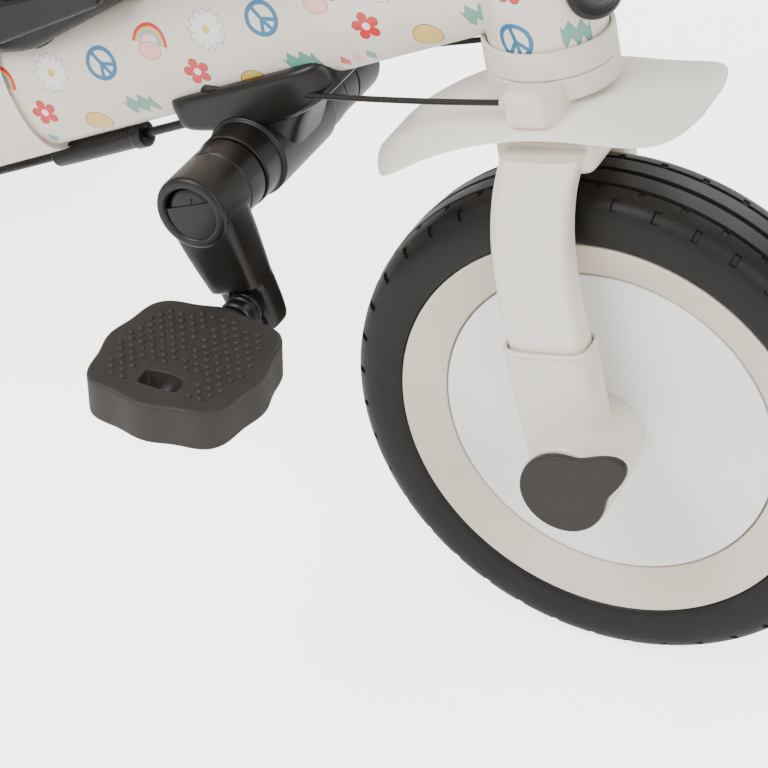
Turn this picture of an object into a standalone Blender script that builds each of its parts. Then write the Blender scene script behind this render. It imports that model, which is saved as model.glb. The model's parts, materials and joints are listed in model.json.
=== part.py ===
"""A children's tricycle with its cranks under the frame tube and a push handle that steers.

Units are metres, +X is forward, +Y is the rider's left and +Z is up. The ground is Z = 0.
Places along the tricycle are written from the front axle; at() moves them into the scene.
"""

import math

import bmesh
import bpy
from mathutils import Matrix, Vector

# --- driving dimensions -------------------------------------------------------------------
FRONT_AXLE_X = 0.29512
FRONT_RADIUS = 0.127
REAR_RADIUS = 0.100
WHEELBASE = 0.545
REAR_TRACK = 0.184
RAKE = math.radians(11.4)
TRAIL_OFFSET = 0.0059
TUBE_SLOPE = math.radians(26.5)
GAP = 0.0003

TYRE_HALF_WIDTH = 0.0245
WHEEL_SIDES = 32
ROUND_SIDES = 20
SMALL_SIDES = 12

TUBE_HALF_HEIGHT = 0.032
TUBE_HALF_WIDTH = 0.023
TUBE_WALL = 0.002
TUBE_POINT = (-0.205, 0.2766)
TUBE_FRONT = 0.170
TUBE_REAR = 0.215

HEAD_RADIUS = 0.029
COLLAR_RADIUS = 0.0290
HEAD_FOOT_RADIUS = 0.0262
HEAD_BORE = 0.0225
COLLAR_SEAM = 0.180
HEAD_TOP = 0.300

CRANK_X = -0.178
CRANK_Z = 0.230
CRANK_ARM = 0.054
CRANK_TILT = math.radians(22.8)
CRANK_TUBE_RADIUS = 0.0185
PEDAL_THICKNESS = 0.021

LEG_Y = 0.0395
CABLE_RADIUS = 0.0014
SHEATH_DEPTH = TUBE_HALF_HEIGHT + 0.0070

BAR_HEIGHT = 0.435
BAR_HALF_WIDTH = 0.205
SEAT_X = -0.345
SEAT_TOP = 0.355
HANDLE_LEAN = math.radians(17.0)
HANDLE_FOOT = (-0.470, 0.205)
BRAKE_PIN = (-0.5790, 0.0770, 0.1000)

IVORY = ((0.73, 0.69, 0.62), 0.38, 0.0)
CREAM = ((0.70, 0.65, 0.56), 0.42, 0.0)
WHITE = ((0.84, 0.85, 0.85), 0.40, 0.0)
BEIGE = ((0.64, 0.58, 0.50), 0.48, 0.0)
RUBBER = ((0.018, 0.016, 0.014), 0.72, 0.0)
BLACK = ((0.022, 0.019, 0.017), 0.42, 0.0)
PEDAL_GREY = ((0.052, 0.047, 0.044), 0.55, 0.0)
STEEL = ((0.62, 0.62, 0.63), 0.28, 1.0)
FABRIC = ((0.40, 0.36, 0.31), 0.90, 0.0)


def clear_scene():
    for old in list(bpy.data.objects):
        bpy.data.objects.remove(old, do_unlink=True)


def new_collection(name):
    collection = bpy.data.collections.new(name)
    bpy.context.scene.collection.children.link(collection)
    return collection


clear_scene()
PARTS = new_collection("childrens_tricycle")
CUTTERS = new_collection("cutters")


# --- places -------------------------------------------------------------------------------
def at(x, y, z):
    """A point given from the front axle along X, as a scene point."""
    return Vector((x + FRONT_AXLE_X, y, z))


def move(x, y, z):
    return Matrix.Translation(at(x, y, z))


def across(x, y, z, side):
    """A frame whose +Z points outwards along the axle: side is -1 on the right, 1 on the left."""
    return move(x, y, z) @ Matrix.Rotation(math.radians(-90 * side), 4, "X")


STEER = move(-TRAIL_OFFSET, 0, FRONT_RADIUS) @ Matrix.Rotation(-RAKE, 4, "Y")
ALONG_TUBE = (
    move(TUBE_POINT[0], 0, TUBE_POINT[1])
    @ Matrix.Rotation(math.radians(90) - TUBE_SLOPE, 4, "Y")
)
PUSH = move(HANDLE_FOOT[0], 0, HANDLE_FOOT[1]) @ Matrix.Rotation(-HANDLE_LEAN, 4, "Y")


def crank_end(side):
    """Where the pedal's spindle leaves the crank; the two cranks stand half a turn apart."""
    reach = -side * CRANK_ARM
    return (
        CRANK_X + reach * math.sin(CRANK_TILT),
        CRANK_Z - reach * math.cos(CRANK_TILT),
    )


# --- making -------------------------------------------------------------------------------
def finish(item, look):
    colour, roughness, metallic = look
    material = bpy.data.materials.new(item.name)
    material.use_nodes = True
    shader = material.node_tree.nodes["Principled BSDF"]
    shader.inputs["Base Color"].default_value = (*colour, 1)
    shader.inputs["Roughness"].default_value = roughness
    shader.inputs["Metallic"].default_value = metallic
    item.data.materials.clear()
    item.data.materials.append(material)
    item.data.shade_smooth()
    item.data.set_sharp_from_angle(angle=math.radians(35))
    return item


def place_object(name, data, frame, look):
    """Links the object as a part, or as a cutter when it has no look."""
    item = bpy.data.objects.new(name, data)
    item.matrix_world = frame
    if look is None:
        item.hide_render = True
        item.display_type = "WIRE"
        CUTTERS.objects.link(item)
        return item
    PARTS.objects.link(item)
    return finish(item, look)


def face_outwards(bm):
    bmesh.ops.recalc_face_normals(bm, faces=bm.faces)
    if bm.calc_volume(signed=True) < 0:
        bmesh.ops.reverse_faces(bm, faces=bm.faces)


def from_bmesh(name, bm, frame, look):
    face_outwards(bm)
    data = bpy.data.meshes.new(name)
    bm.to_mesh(data)
    bm.free()
    return place_object(name, data, frame, look)


def turned(name, profile, sides, frame, look, phase=0.0):
    """A profile of (radius, height), top to bottom down its outer side, turned about +Z."""
    data = bpy.data.meshes.new(name)
    on_axis = profile[0][0] == 0 and profile[-1][0] == 0
    edges = [(i, i + 1) for i in range(len(profile) - 1)]
    if not on_axis:
        edges.append((len(profile) - 1, 0))
    data.from_pydata([(r, 0, h) for r, h in profile], edges, [])
    item = bpy.data.objects.new(name, data)
    item.matrix_world = frame @ Matrix.Rotation(phase, 4, "Z")
    screw = item.modifiers.new("turn", "SCREW")
    screw.steps = sides
    screw.render_steps = sides
    screw.use_merge_vertices = True
    screw.merge_threshold = 0.00002
    if look is None:
        item.hide_render = True
        item.display_type = "WIRE"
        CUTTERS.objects.link(item)
    else:
        PARTS.objects.link(item)
    return to_mesh(item, look)


def to_mesh(item, look):
    """Makes the object's evaluated shape its mesh, with its doubles welded."""
    bpy.context.view_layer.update()
    graph = bpy.context.evaluated_depsgraph_get()
    data = bpy.data.meshes.new_from_object(item.evaluated_get(graph))
    frame = item.matrix_world.copy()
    name = item.name
    bpy.data.objects.remove(item, do_unlink=True)
    bm = bmesh.new()
    bm.from_mesh(data)
    bmesh.ops.remove_doubles(bm, verts=bm.verts, dist=0.00001)
    return from_bmesh(name, bm, frame, look)


def rod(name, radius, length, sides, frame, look, edge=0.0):
    """A solid cylinder from the frame's origin along +Z, with chamfered ends."""
    profile = [
        (0, length),
        (radius - edge, length),
        (radius, length - edge),
        (radius, edge),
        (radius - edge, 0),
        (0, 0),
    ]
    if edge == 0:
        profile = [(0, length), (radius, length), (radius, 0), (0, 0)]
    return turned(name, profile, sides, frame, look)


def pipe(name, outer, inner, length, sides, frame, look):
    profile = [(outer, length), (outer, 0), (inner, 0), (inner, length)]
    return turned(name, profile, sides, frame, look)


def plate(name, loops, thickness, frame, look):
    """A flat outline, with any inner loops as holes, extruded evenly about the frame's XY plane."""
    curve = bpy.data.curves.new(name, "CURVE")
    curve.dimensions = "2D"
    curve.fill_mode = "BOTH"
    curve.extrude = thickness / 2
    for loop in loops:
        spline = curve.splines.new("POLY")
        spline.points.add(len(loop) - 1)
        for point, (x, y) in zip(spline.points, loop):
            point.co = (x, y, 0, 1)
        spline.use_cyclic_u = True
    item = bpy.data.objects.new(name, curve)
    item.matrix_world = frame
    PARTS.objects.link(item)
    return to_mesh(item, look)


def tube(name, points, radius, look, resolution=2):
    curve = bpy.data.curves.new(name, "CURVE")
    curve.dimensions = "3D"
    curve.bevel_depth = radius
    curve.bevel_resolution = resolution
    curve.use_fill_caps = True
    spline = curve.splines.new("POLY")
    spline.points.add(len(points) - 1)
    for place, point in zip(spline.points, points):
        place.co = (*point, 1)
    item = bpy.data.objects.new(name, curve)
    PARTS.objects.link(item)
    return to_mesh(item, look)


def loft(name, rings, frame, look):
    """Closed rings of equal count skinned in order, with flat ends."""
    bm = bmesh.new()
    made = [[bm.verts.new(point) for point in ring] for ring in rings]
    for low, high in zip(made, made[1:]):
        for i in range(len(low)):
            j = (i + 1) % len(low)
            bm.faces.new((low[i], low[j], high[j], high[i]))
    bm.faces.new(made[0])
    bm.faces.new(made[-1])
    return from_bmesh(name, bm, frame, look)


def block(name, size, frame, look, edge=0.0):
    bm = bmesh.new()
    bmesh.ops.create_cube(bm, size=1, matrix=Matrix.Diagonal((*size, 1)))
    if edge:
        bmesh.ops.bevel(bm, geom=bm.edges, offset=edge, segments=1, affect="EDGES", profile=0.5)
    return from_bmesh(name, bm, frame, look)


def combine(item, other, operation, solver):
    change = item.modifiers.new(operation.lower(), "BOOLEAN")
    change.operation = operation
    change.solver = solver
    change.object = other
    bpy.context.view_layer.update()
    graph = bpy.context.evaluated_depsgraph_get()
    data = bpy.data.meshes.new_from_object(item.evaluated_get(graph))
    item.modifiers.clear()
    item.data = data
    bpy.data.objects.remove(other, do_unlink=True)
    return item


def cut(item, cutter, solver="EXACT"):
    return combine(item, cutter, "DIFFERENCE", solver)


def join(item, other, solver="EXACT"):
    return combine(item, other, "UNION", solver)


# --- outlines -----------------------------------------------------------------------------
def oval(half_x, half_y, count=ROUND_SIDES, power=2.0):
    """A superellipse: power 2 is an ellipse, more is squarer."""
    points = []
    for i in range(count):
        angle = 2 * math.pi * (i + 0.5) / count
        c, s = math.cos(angle), math.sin(angle)
        x = half_x * math.copysign(abs(c) ** (2 / power), c)
        y = half_y * math.copysign(abs(s) ** (2 / power), s)
        points.append((x, y))
    return points


def stadium(radius_a, radius_b, length, count=9):
    """Two round ends of unlike radius joined by straight sides, the first at the origin."""
    lean = math.asin((radius_a - radius_b) / length)
    points = []
    for i in range(count):
        angle = math.pi / 2 - lean + (math.pi + 2 * lean) * i / (count - 1)
        points.append((radius_a * math.cos(angle), radius_a * math.sin(angle)))
    for i in range(count):
        angle = -math.pi / 2 + lean + (math.pi - 2 * lean) * i / (count - 1)
        points.append((length + radius_b * math.cos(angle), radius_b * math.sin(angle)))
    return points


def pedal_outline(count=32):
    """A rounded square with eight soft lobes."""
    points = []
    for i in range(count):
        angle = 2 * math.pi * i / count
        c, s = abs(math.cos(angle)), abs(math.sin(angle))
        square = (c**3.0 + s**3.0) ** (-1 / 3.0)
        radius = 0.0382 * square * (1 + 0.035 * math.cos(8 * (angle)))
        points.append((radius * math.cos(angle), 1.05 * radius * math.sin(angle)))
    return points


def knob_outline(side, count=36):
    """The hub knob: round, with one finger lobe that points forwards and up."""
    points = []
    for i in range(count):
        angle = 2 * math.pi * i / count
        apart = (math.degrees(angle) + 42 * side + 180) % 360 - 180
        radius = 0.0203 + 0.0173 * math.exp(-((apart / 20) ** 2))
        points.append((radius * math.cos(angle), radius * math.sin(angle)))
    return points


# --- wheels -------------------------------------------------------------------------------
def wheel(prefix, x, z, y, radius, bore):
    """Tyre and rim about one axle, with a flat of the tread on the ground."""
    k = 1 / math.cos(math.pi / WHEEL_SIDES)
    half = TYRE_HALF_WIDTH
    bead = radius - 0.0265
    frame = across(x, y, z, -1)
    phase = math.pi / WHEEL_SIDES
    tyre = [
        (bead, half - 0.001),
        (radius - 0.008, half),
        (radius - 0.0025, half - 0.006),
        (radius, half - 0.015),
    ]
    tyre = [(r * k, h) for r, h in tyre]
    tyre += [(r, -h) for r, h in reversed(tyre)]
    turned(prefix + "_tyre", tyre, WHEEL_SIDES, frame, RUBBER, phase)
    edge = bead - GAP
    step = bead - 0.0195
    rim = [(bore, 0.0120), (step, 0.0120), (step, 0.0155), (edge, 0.0230)]
    rim += [(r, -h) for r, h in reversed(rim)]
    turned(prefix + "_rim", [(r * k, h) for r, h in rim], WHEEL_SIDES, frame, BEIGE, phase)
    return step


def front_wheel():
    bore = 0.0052
    step = wheel("front", 0, FRONT_RADIUS, 0, FRONT_RADIUS, bore)
    for side, word in ((-1, "right"), (1, "left")):
        frame = across(0, 0, FRONT_RADIUS, side)
        disc = [(step, 0.0155), (step, 0.0123), (bore + 0.0012, 0.0123), (bore + 0.0012, 0.0170)]
        disc = [(r - 0.0011, h) for r, h in disc]
        turned("front_disc_" + word, disc, WHEEL_SIDES, frame, WHITE, math.pi / WHEEL_SIDES)
        cap = [(0.0183, 0.0262), (0.0193, 0.0250), (0.0193, 0.0178), (bore, 0.0178)]
        cap += [(bore, 0.0262)]
        turned("hub_cap_" + word, cap, ROUND_SIDES, frame, CREAM)


def rear_wheels():
    bore = 0.0062
    for side, word in ((-1, "right"), (1, "left")):
        y = side * REAR_TRACK
        wheel("rear_%s" % word, -WHEELBASE, REAR_RADIUS, y, REAR_RADIUS, bore)
        frame = across(-WHEELBASE, y, REAR_RADIUS, side)
        cap = [
            (0, 0.0285),
            (0.0140, 0.0275),
            (0.0190, 0.0240),
            (0.0210, 0.0155),
            (0.0080, 0.0155),
            (0.0080, 0.0190),
            (0, 0.0190),
        ]
        turned("rear_cap_" + word, cap, ROUND_SIDES, frame, CREAM)
    length = 2 * (REAR_TRACK + 0.0180)
    frame = across(-WHEELBASE, -length / 2, REAR_RADIUS, 1)
    rod("rear_axle", 0.0060, length, SMALL_SIDES, frame, STEEL)


# --- fork and steering --------------------------------------------------------------------
LEG_PATH = (
    (-0.0298, 0.2755, 0.0183, 0.0088),
    (-0.0326, 0.2550, 0.0180, 0.0092),
    (-0.0318, 0.2320, 0.0180, 0.0096),
    (-0.0268, 0.2050, 0.0180, 0.0098),
    (-0.0210, 0.1840, 0.0180, 0.0098),
    (-0.0180, 0.1720, 0.0178, 0.0095),
)
LEG_TUCK = (0.0040, 0.0030, 0.0015, 0.0004, 0, 0)
SOCKET_PATH = (
    (-0.0207, 0.1835, 0.0200, 0.0118),
    (-0.0182, 0.1725, 0.0200, 0.0118),
    (-0.0145, 0.1570, 0.0200, 0.0118),
    (-0.0080, 0.1300, 0.0195, 0.0118),
)


def oval_rings(path, side, y, tucks=None, count=14, power=2.8):
    """Oval rings (x, z, half length, half width) square to the fork, each tucked in by its tuck."""
    rise = math.tan(RAKE)
    rings = []
    for i, (x, z, half_x, half_y) in enumerate(path):
        middle = side * (y - (tucks[i] if tucks else 0))
        outline = oval(half_x, half_y, count, power)
        rings.append([at(x + u, middle + v, z + u * rise) for u, v in outline])
    return rings


def fork():
    crown = block(
        "fork",
        (0.046, 2 * LEG_Y - 0.016, 0.018),
        move(-0.0320, 0, 0.2700) @ Matrix.Rotation(-RAKE, 4, "Y"),
        IVORY,
        0.004,
    )
    for side in (-1, 1):
        leg = loft("leg", oval_rings(LEG_PATH, side, LEG_Y, LEG_TUCK), Matrix.Identity(4), None)
        join(crown, leg)
    join(crown, rod("boss", 0.0190, 0.0180, ROUND_SIDES, STEER @ move_up(0.1430), None))
    cut(crown, rod("steerer_hole", 0.0131, 0.060, SMALL_SIDES, STEER @ move_up(0.125), None))
    finish(crown, IVORY)
    pipe("steerer_tube", 0.0127, 0.0105, 0.205, SMALL_SIDES, STEER @ move_up(0.145), STEEL)
    for side, word in ((-1, "right"), (1, "left")):
        fork_end(side, word)
    length = 2 * 0.0670
    frame = across(0, -length / 2, FRONT_RADIUS, 1)
    rod("front_axle", 0.0050, length, SMALL_SIDES, frame, STEEL)


def move_up(height):
    return Matrix.Translation((0, 0, height))


def fork_end(side, word):
    """The moulded end that takes the leg in its mouth and the axle through its boss."""
    name = "fork_end_" + word
    end = loft(name, oval_rings(SOCKET_PATH, side, LEG_Y + 0.0005), Matrix.Identity(4), CREAM)
    inner = 0.0270
    frame = across(0, side * inner, FRONT_RADIUS, side)
    boss = rod("boss", 0.0215, 0.0675 - inner, ROUND_SIDES, frame, None, 0.001)
    join(end, boss, solver="MANIFOLD")
    path = [(x, z, u + 0.0003, v + 0.0003) for x, z, u, v in LEG_PATH[3:]]
    path[-1] = (-0.0179, 0.1717, 0.0181, 0.0098)
    mouth = loft("mouth", oval_rings(path, side, LEG_Y), Matrix.Identity(4), None)
    hole = rod("hole", 0.0053, 0.07, SMALL_SIDES, frame @ move_up(-0.010), None)
    cut(end, mouth, solver="MANIFOLD")
    cut(end, hole, solver="MANIFOLD")
    finish(end, CREAM)


def hub_knobs():
    for side, word in ((-1, "right"), (1, "left")):
        frame = across(0, side * 0.0700, FRONT_RADIUS, side)
        knob = plate("hub_knob_" + word, [knob_outline(side)], 0.0042, frame, BLACK)
        soften(knob, 0.0008, 1)
        finish(knob, BLACK)


def soften(item, width, segments=2, angle=50):
    """Rounds the edges sharper than the angle."""
    bm = bmesh.new()
    bm.from_mesh(item.data)
    bmesh.ops.dissolve_limit(bm, angle_limit=0.01, verts=bm.verts, edges=bm.edges)
    sharp = [
        e
        for e in bm.edges
        if len(e.link_faces) == 2 and e.calc_face_angle() > math.radians(angle)
    ]
    bmesh.ops.bevel(bm, geom=sharp, offset=width, segments=segments, affect="EDGES", profile=0.5)
    bm.to_mesh(item.data)
    bm.free()


def collars():
    """The lower ring turns with the fork and carries the two cable lugs."""
    low = 0.1695
    seam = COLLAR_SEAM
    lower = pipe(
        "lower_collar",
        COLLAR_RADIUS,
        0.0131,
        seam - low - GAP,
        ROUND_SIDES,
        STEER @ move_up(low),
        CREAM,
    )
    for side in (-1, 1):
        lug = block(
            "lug",
            (0.0210, 0.0150, 0.0120),
            STEER @ Matrix.Translation((0.0035, side * 0.0320, seam - GAP - 0.0060)),
            None,
            0.002,
        )
        join(lower, lug)
        hole = rod(
            "hole",
            CABLE_RADIUS + 0.0009,
            0.012,
            SMALL_SIDES,
            STEER
            @ Matrix.Translation((-0.0125, side * 0.0360, 0.1740))
            @ Matrix.Rotation(math.radians(90), 4, "Y"),
            None,
        )
        cut(lower, hole)
    finish(lower, CREAM)
    upper = [
        (HEAD_FOOT_RADIUS + 0.0005, seam + 0.0125),
        (COLLAR_RADIUS - 0.0006, seam + 0.0125),
        (COLLAR_RADIUS, seam + 0.0118),
        (COLLAR_RADIUS, seam),
        (0.0175, seam),
        (0.0175, seam + 0.0060),
        (HEAD_FOOT_RADIUS + 0.0005, seam + 0.0060),
    ]
    turned("upper_collar", upper, ROUND_SIDES, STEER, CREAM)


def head():
    """The head tube's shell, two bushes for the steerer, and the round badge on its front."""
    low = COLLAR_SEAM + 0.0064
    shell = [
        (HEAD_RADIUS - 0.004, HEAD_TOP),
        (HEAD_RADIUS, HEAD_TOP - 0.004),
        (HEAD_RADIUS, low + 0.0260),
        (HEAD_FOOT_RADIUS, low + 0.0065),
        (HEAD_FOOT_RADIUS, low),
        (HEAD_BORE, low),
        (HEAD_BORE, HEAD_TOP),
    ]
    turned("head_tube", shell, ROUND_SIDES, STEER, IVORY)
    for name, height in (("headset_bush_lower", low + 0.001), ("headset_bush_upper", 0.282)):
        pipe(name, HEAD_BORE - GAP, 0.0130, 0.014, ROUND_SIDES, STEER @ move_up(height), BLACK)
    frame = (
        STEER
        @ Matrix.Translation((HEAD_RADIUS - 0.0035, 0, 0.2190))
        @ Matrix.Rotation(math.radians(90), 4, "Y")
    )
    outline = oval(0.0180, 0.0215, 20)
    badge = plate("head_badge", [outline], 0.016, frame, BLACK)
    soften(badge, 0.0015, 1)
    cut(badge, rod("relief", HEAD_RADIUS + GAP, 0.08, ROUND_SIDES, STEER @ move_up(0.18), None))
    finish(badge, BLACK)


FENDER_PATH = (
    (-45.4, 0.1655, 0.0120, 0.0015),
    (-44.4, 0.1663, 0.0245, 0.0045),
    (-41.5, 0.1673, 0.0355, 0.0080),
    (-36.0, 0.1683, 0.0415, 0.0090),
    (-26.0, 0.1690, 0.0425, 0.0085),
    (-12.0, 0.1690, 0.0405, 0.0078),
    (-2.0, 0.1694, 0.0405, 0.0068),
    (4.0, 0.1710, 0.0410, 0.0048),
    (7.5, 0.1732, 0.0385, 0.0030),
    (9.6, 0.1750, 0.0290, 0.0018),
    (10.4, 0.1757, 0.0150, 0.0010),
)


def fender_ring(angle, radius, half_width, drop, thickness, count=9):
    """One cross-section: a flat crown with its sides bent down, as outer then inner points."""
    lean = math.radians(angle)
    outward = Vector((math.sin(lean), 0, math.cos(lean)))
    hub = at(0, 0, FRONT_RADIUS)
    outer, inner = [], []
    for i in range(count):
        u = 2 * i / (count - 1) - 1
        sink = drop * max(0.0, (abs(u) - 0.50) / 0.50) ** 1.5
        shift = Vector((0, u * half_width, 0))
        outer.append(hub + outward * (radius - sink) + shift)
        inner.append(hub + outward * (radius - sink - thickness) + shift * 0.965)
    return outer + inner[::-1]


def fender():
    rings = [fender_ring(*row, 0.0026) for row in FENDER_PATH]
    plate_above = loft("front_fender", rings, Matrix.Identity(4), WHITE)
    cut(plate_above, rod("hole", 0.0131, 0.06, SMALL_SIDES, STEER @ move_up(0.14), None))
    finish(plate_above, WHITE)


def handlebar():
    top = HEAD_TOP + GAP
    stem = [
        (0, BAR_HEIGHT + 0.012),
        (0.0200, BAR_HEIGHT - 0.014),
        (0.0215, top + 0.030),
        (0.0270, top + 0.006),
        (0.0270, top),
        (0.0131, top),
        (0.0131, BAR_HEIGHT - 0.070),
        (0, BAR_HEIGHT - 0.070),
    ]
    made = turned("handlebar_stem", stem, ROUND_SIDES, STEER, IVORY)
    sideways = STEER @ move_up(BAR_HEIGHT) @ Matrix.Rotation(math.radians(-90), 4, "X")
    join(made, rod("clamp", 0.0190, 0.060, ROUND_SIDES, sideways @ move_up(-0.030), None, 0.002))
    cut(made, rod("hole", 0.0110 + GAP, 0.080, ROUND_SIDES, sideways @ move_up(-0.040), None))
    finish(made, IVORY)
    points = [STEER @ bar_point(2 * i / 32 - 1) for i in range(33)]
    tube("handlebar", points, 0.0110, STEEL, 3)
    for side, word in ((-1, "right"), (1, "left")):
        end = points[0] if side < 0 else points[-1]
        inner = points[4] if side < 0 else points[-5]
        along = (end - inner).normalized()
        turn = along.to_track_quat("Z", "Y").to_matrix().to_4x4()
        start = end - along * 0.092
        frame = Matrix.Translation(start) @ turn
        grip = [
            (0, 0.0985),
            (0.0170, 0.0985),
            (0.0185, 0.0955),
            (0.0185, 0.0920),
            (0.0155, 0.0890),
            (0.0165, 0.0480),
            (0.0150, 0.0060),
            (0.0205, 0.0040),
            (0.0205, 0),
            (0.0120, 0),
            (0.0120, 0.0935),
            (0, 0.0935),
        ]
        turned("grip_" + word, grip, 16, frame, PEDAL_GREY)


def bar_point(u):
    """A point of the bar: straight at the stem, then up, and swept back to straight ends."""
    out = abs(u) * BAR_HALF_WIDTH
    rise = min(1.0, max(0.0, (out - 0.040) / 0.055))
    bend = min(1.0, max(0.0, (out - 0.045) / 0.050))
    back = 0.28 * (0.050 * bend * bend / 2 + max(0.0, out - 0.095))
    height = BAR_HEIGHT + 0.032 * rise * rise * (3 - 2 * rise)
    return Vector((-back, math.copysign(out, u), height))


# --- main tube, crank housing and cables --------------------------------------------------
def tube_outline(grow):
    return oval(TUBE_HALF_HEIGHT + grow, TUBE_HALF_WIDTH + grow, 28, 2.3)


def tube_bed(back, front):
    """The cutter that leaves room for the main tube between two places along it."""
    rings = [[Vector((x, y, h)) for x, y in tube_outline(GAP)] for h in (back, front)]
    return loft("bed", rings, ALONG_TUBE, None)


def main_tube():
    length = TUBE_FRONT + TUBE_REAR
    frame = ALONG_TUBE @ move_up((TUBE_FRONT - TUBE_REAR) / 2)
    item = plate("main_tube", [tube_outline(0), tube_outline(-TUBE_WALL)], length, frame, IVORY)
    cut(item, rod("cope", HEAD_RADIUS + GAP, 0.25, ROUND_SIDES, STEER @ move_up(0.15), None))
    cut(item, rod("relief", COLLAR_RADIUS + GAP, 0.0785, ROUND_SIDES, STEER @ move_up(0.115), None))
    return finish(item, IVORY)


def crank_housing():
    """The black moulding under the tube: a cross tube for the spindle, a neck and a saddle."""
    housing = rod(
        "crank_housing",
        CRANK_TUBE_RADIUS,
        0.0395 + 0.0405,
        ROUND_SIDES,
        across(CRANK_X, -0.0405, CRANK_Z, 1),
        BLACK,
    )
    neck = rod("neck", 0.0200, 0.050, ROUND_SIDES, across(CRANK_X, -0.0240, CRANK_Z, 1), None)
    join(housing, neck)
    saddle = loft("saddle", saddle_rings(), ALONG_TUBE, None)
    join(housing, saddle)
    web = loft("web", web_rings(), Matrix.Identity(4), None)
    join(housing, web)
    cut(housing, tube_bed(-0.2, 0.2))
    bore = rod("bore", 0.0140, 0.100, ROUND_SIDES, across(CRANK_X, -0.05, CRANK_Z, 1), None)
    cut(housing, bore)
    for side in (-1, 1):
        start = Matrix.Translation(cable_ends(side)[0]) @ CABLE_TURN[side]
        cut(housing, rod("hole", 0.0024, 0.05, SMALL_SIDES, start @ move_up(-0.006), None))
    back = ALONG_TUBE @ Matrix.Translation((SHEATH_DEPTH, 0, -0.06))
    cut(housing, rod("hole", 0.0026, 0.064, SMALL_SIDES, back, None))
    finish(housing, BLACK)
    for side, word in ((-1, "right"), (1, "left")):
        frame = across(CRANK_X, side * 0.0265, CRANK_Z, side)
        pipe("crank_bush_" + word, 0.0140 - GAP, 0.0077, 0.0120, ROUND_SIDES, frame, STEEL)


def saddle_rings():
    """Rings along the tube: the saddle's half width and how far it hangs below the tube."""
    rings = []
    for along, half, drop in (
        (-0.0300, 0.0150, 0.0020),
        (-0.0220, 0.0225, 0.0050),
        (0.0000, 0.0245, 0.0085),
        (0.0300, 0.0250, 0.0100),
        (0.0480, 0.0240, 0.0070),
        (0.0600, 0.0150, 0.0020),
    ):
        rise = 0.0120 if half > 0.015 else 0.0060
        low = TUBE_HALF_HEIGHT + drop
        ring = [
            (TUBE_HALF_HEIGHT - rise, -half),
            (low - 0.004, -half),
            (low, -half * 0.62),
            (low, half * 0.62),
            (low - 0.004, half),
            (TUBE_HALF_HEIGHT - rise, half),
        ]
        rings.append([Vector((x, y, along)) for x, y in ring])
    return rings


def web_rings():
    """The neck's web, upright, from the cross tube to the saddle."""
    rings = []
    for z, x, half_x, half_y in (
        (0.2300, CRANK_X, 0.0180, 0.0230),
        (0.2450, CRANK_X - 0.0020, 0.0240, 0.0230),
        (0.2580, CRANK_X - 0.0050, 0.0330, 0.0215),
    ):
        rings.append([at(x + u, v, z) for u, v in oval(half_x, half_y, 20, 3.5)])
    return rings


def cable_ends(side):
    """The near end in the housing's grommet, and the far end in the collar's lug."""
    start = ALONG_TUBE @ Vector((0.0285, side * 0.0208, 0.0300))
    finish_at = STEER @ Vector((-0.0050, side * 0.0360, 0.1740))
    return start, finish_at


def cable_direction(side):
    start, end = cable_ends(side)
    return (end - start).normalized().to_track_quat("Z", "Y").to_matrix().to_4x4()


CABLE_TURN = {side: cable_direction(side) for side in (-1, 1)}


def cables():
    for side, word in ((-1, "right"), (1, "left")):
        start, end = cable_ends(side)
        points = []
        for i in range(13):
            u = i / 12
            sag = Vector((0, 0, 0.0012 * 4 * u * (1 - u)))
            points.append(start.lerp(end, u) - sag)
        tube("steering_cable_" + word, points, CABLE_RADIUS, BLACK)
    sleeve_front, sleeve_back = -0.0660, -0.1250
    frame = ALONG_TUBE @ Matrix.Translation((SHEATH_DEPTH, 0, sleeve_back))
    sleeve = [
        (0.0060, sleeve_front - sleeve_back),
        (0.0068, sleeve_front - sleeve_back - 0.001),
        (0.0068, sleeve_front - sleeve_back - 0.006),
        (0.0060, sleeve_front - sleeve_back - 0.007),
        (0.0060, 0.0010),
        (0.0050, 0),
        (0.0026, 0),
        (0.0026, sleeve_front - sleeve_back),
    ]
    turned("cable_sleeve", sleeve, SMALL_SIDES, frame, BLACK)
    sheath = []
    for i in range(25):
        along = -0.0060 - 0.1950 * i / 24
        sheath.append(ALONG_TUBE @ Vector((SHEATH_DEPTH, 0, along)))
    tube("cable_sheath", sheath, 0.0023, BLACK)


# --- cranks and pedals --------------------------------------------------------------------
def cranks():
    rod(
        "crank_spindle",
        0.0075,
        2 * 0.0600,
        SMALL_SIDES,
        across(CRANK_X, -0.0600, CRANK_Z, 1),
        STEEL,
    )
    for side, word in ((-1, "right"), (1, "left")):
        crank(side, word)
        pedal(side, word)


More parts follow.
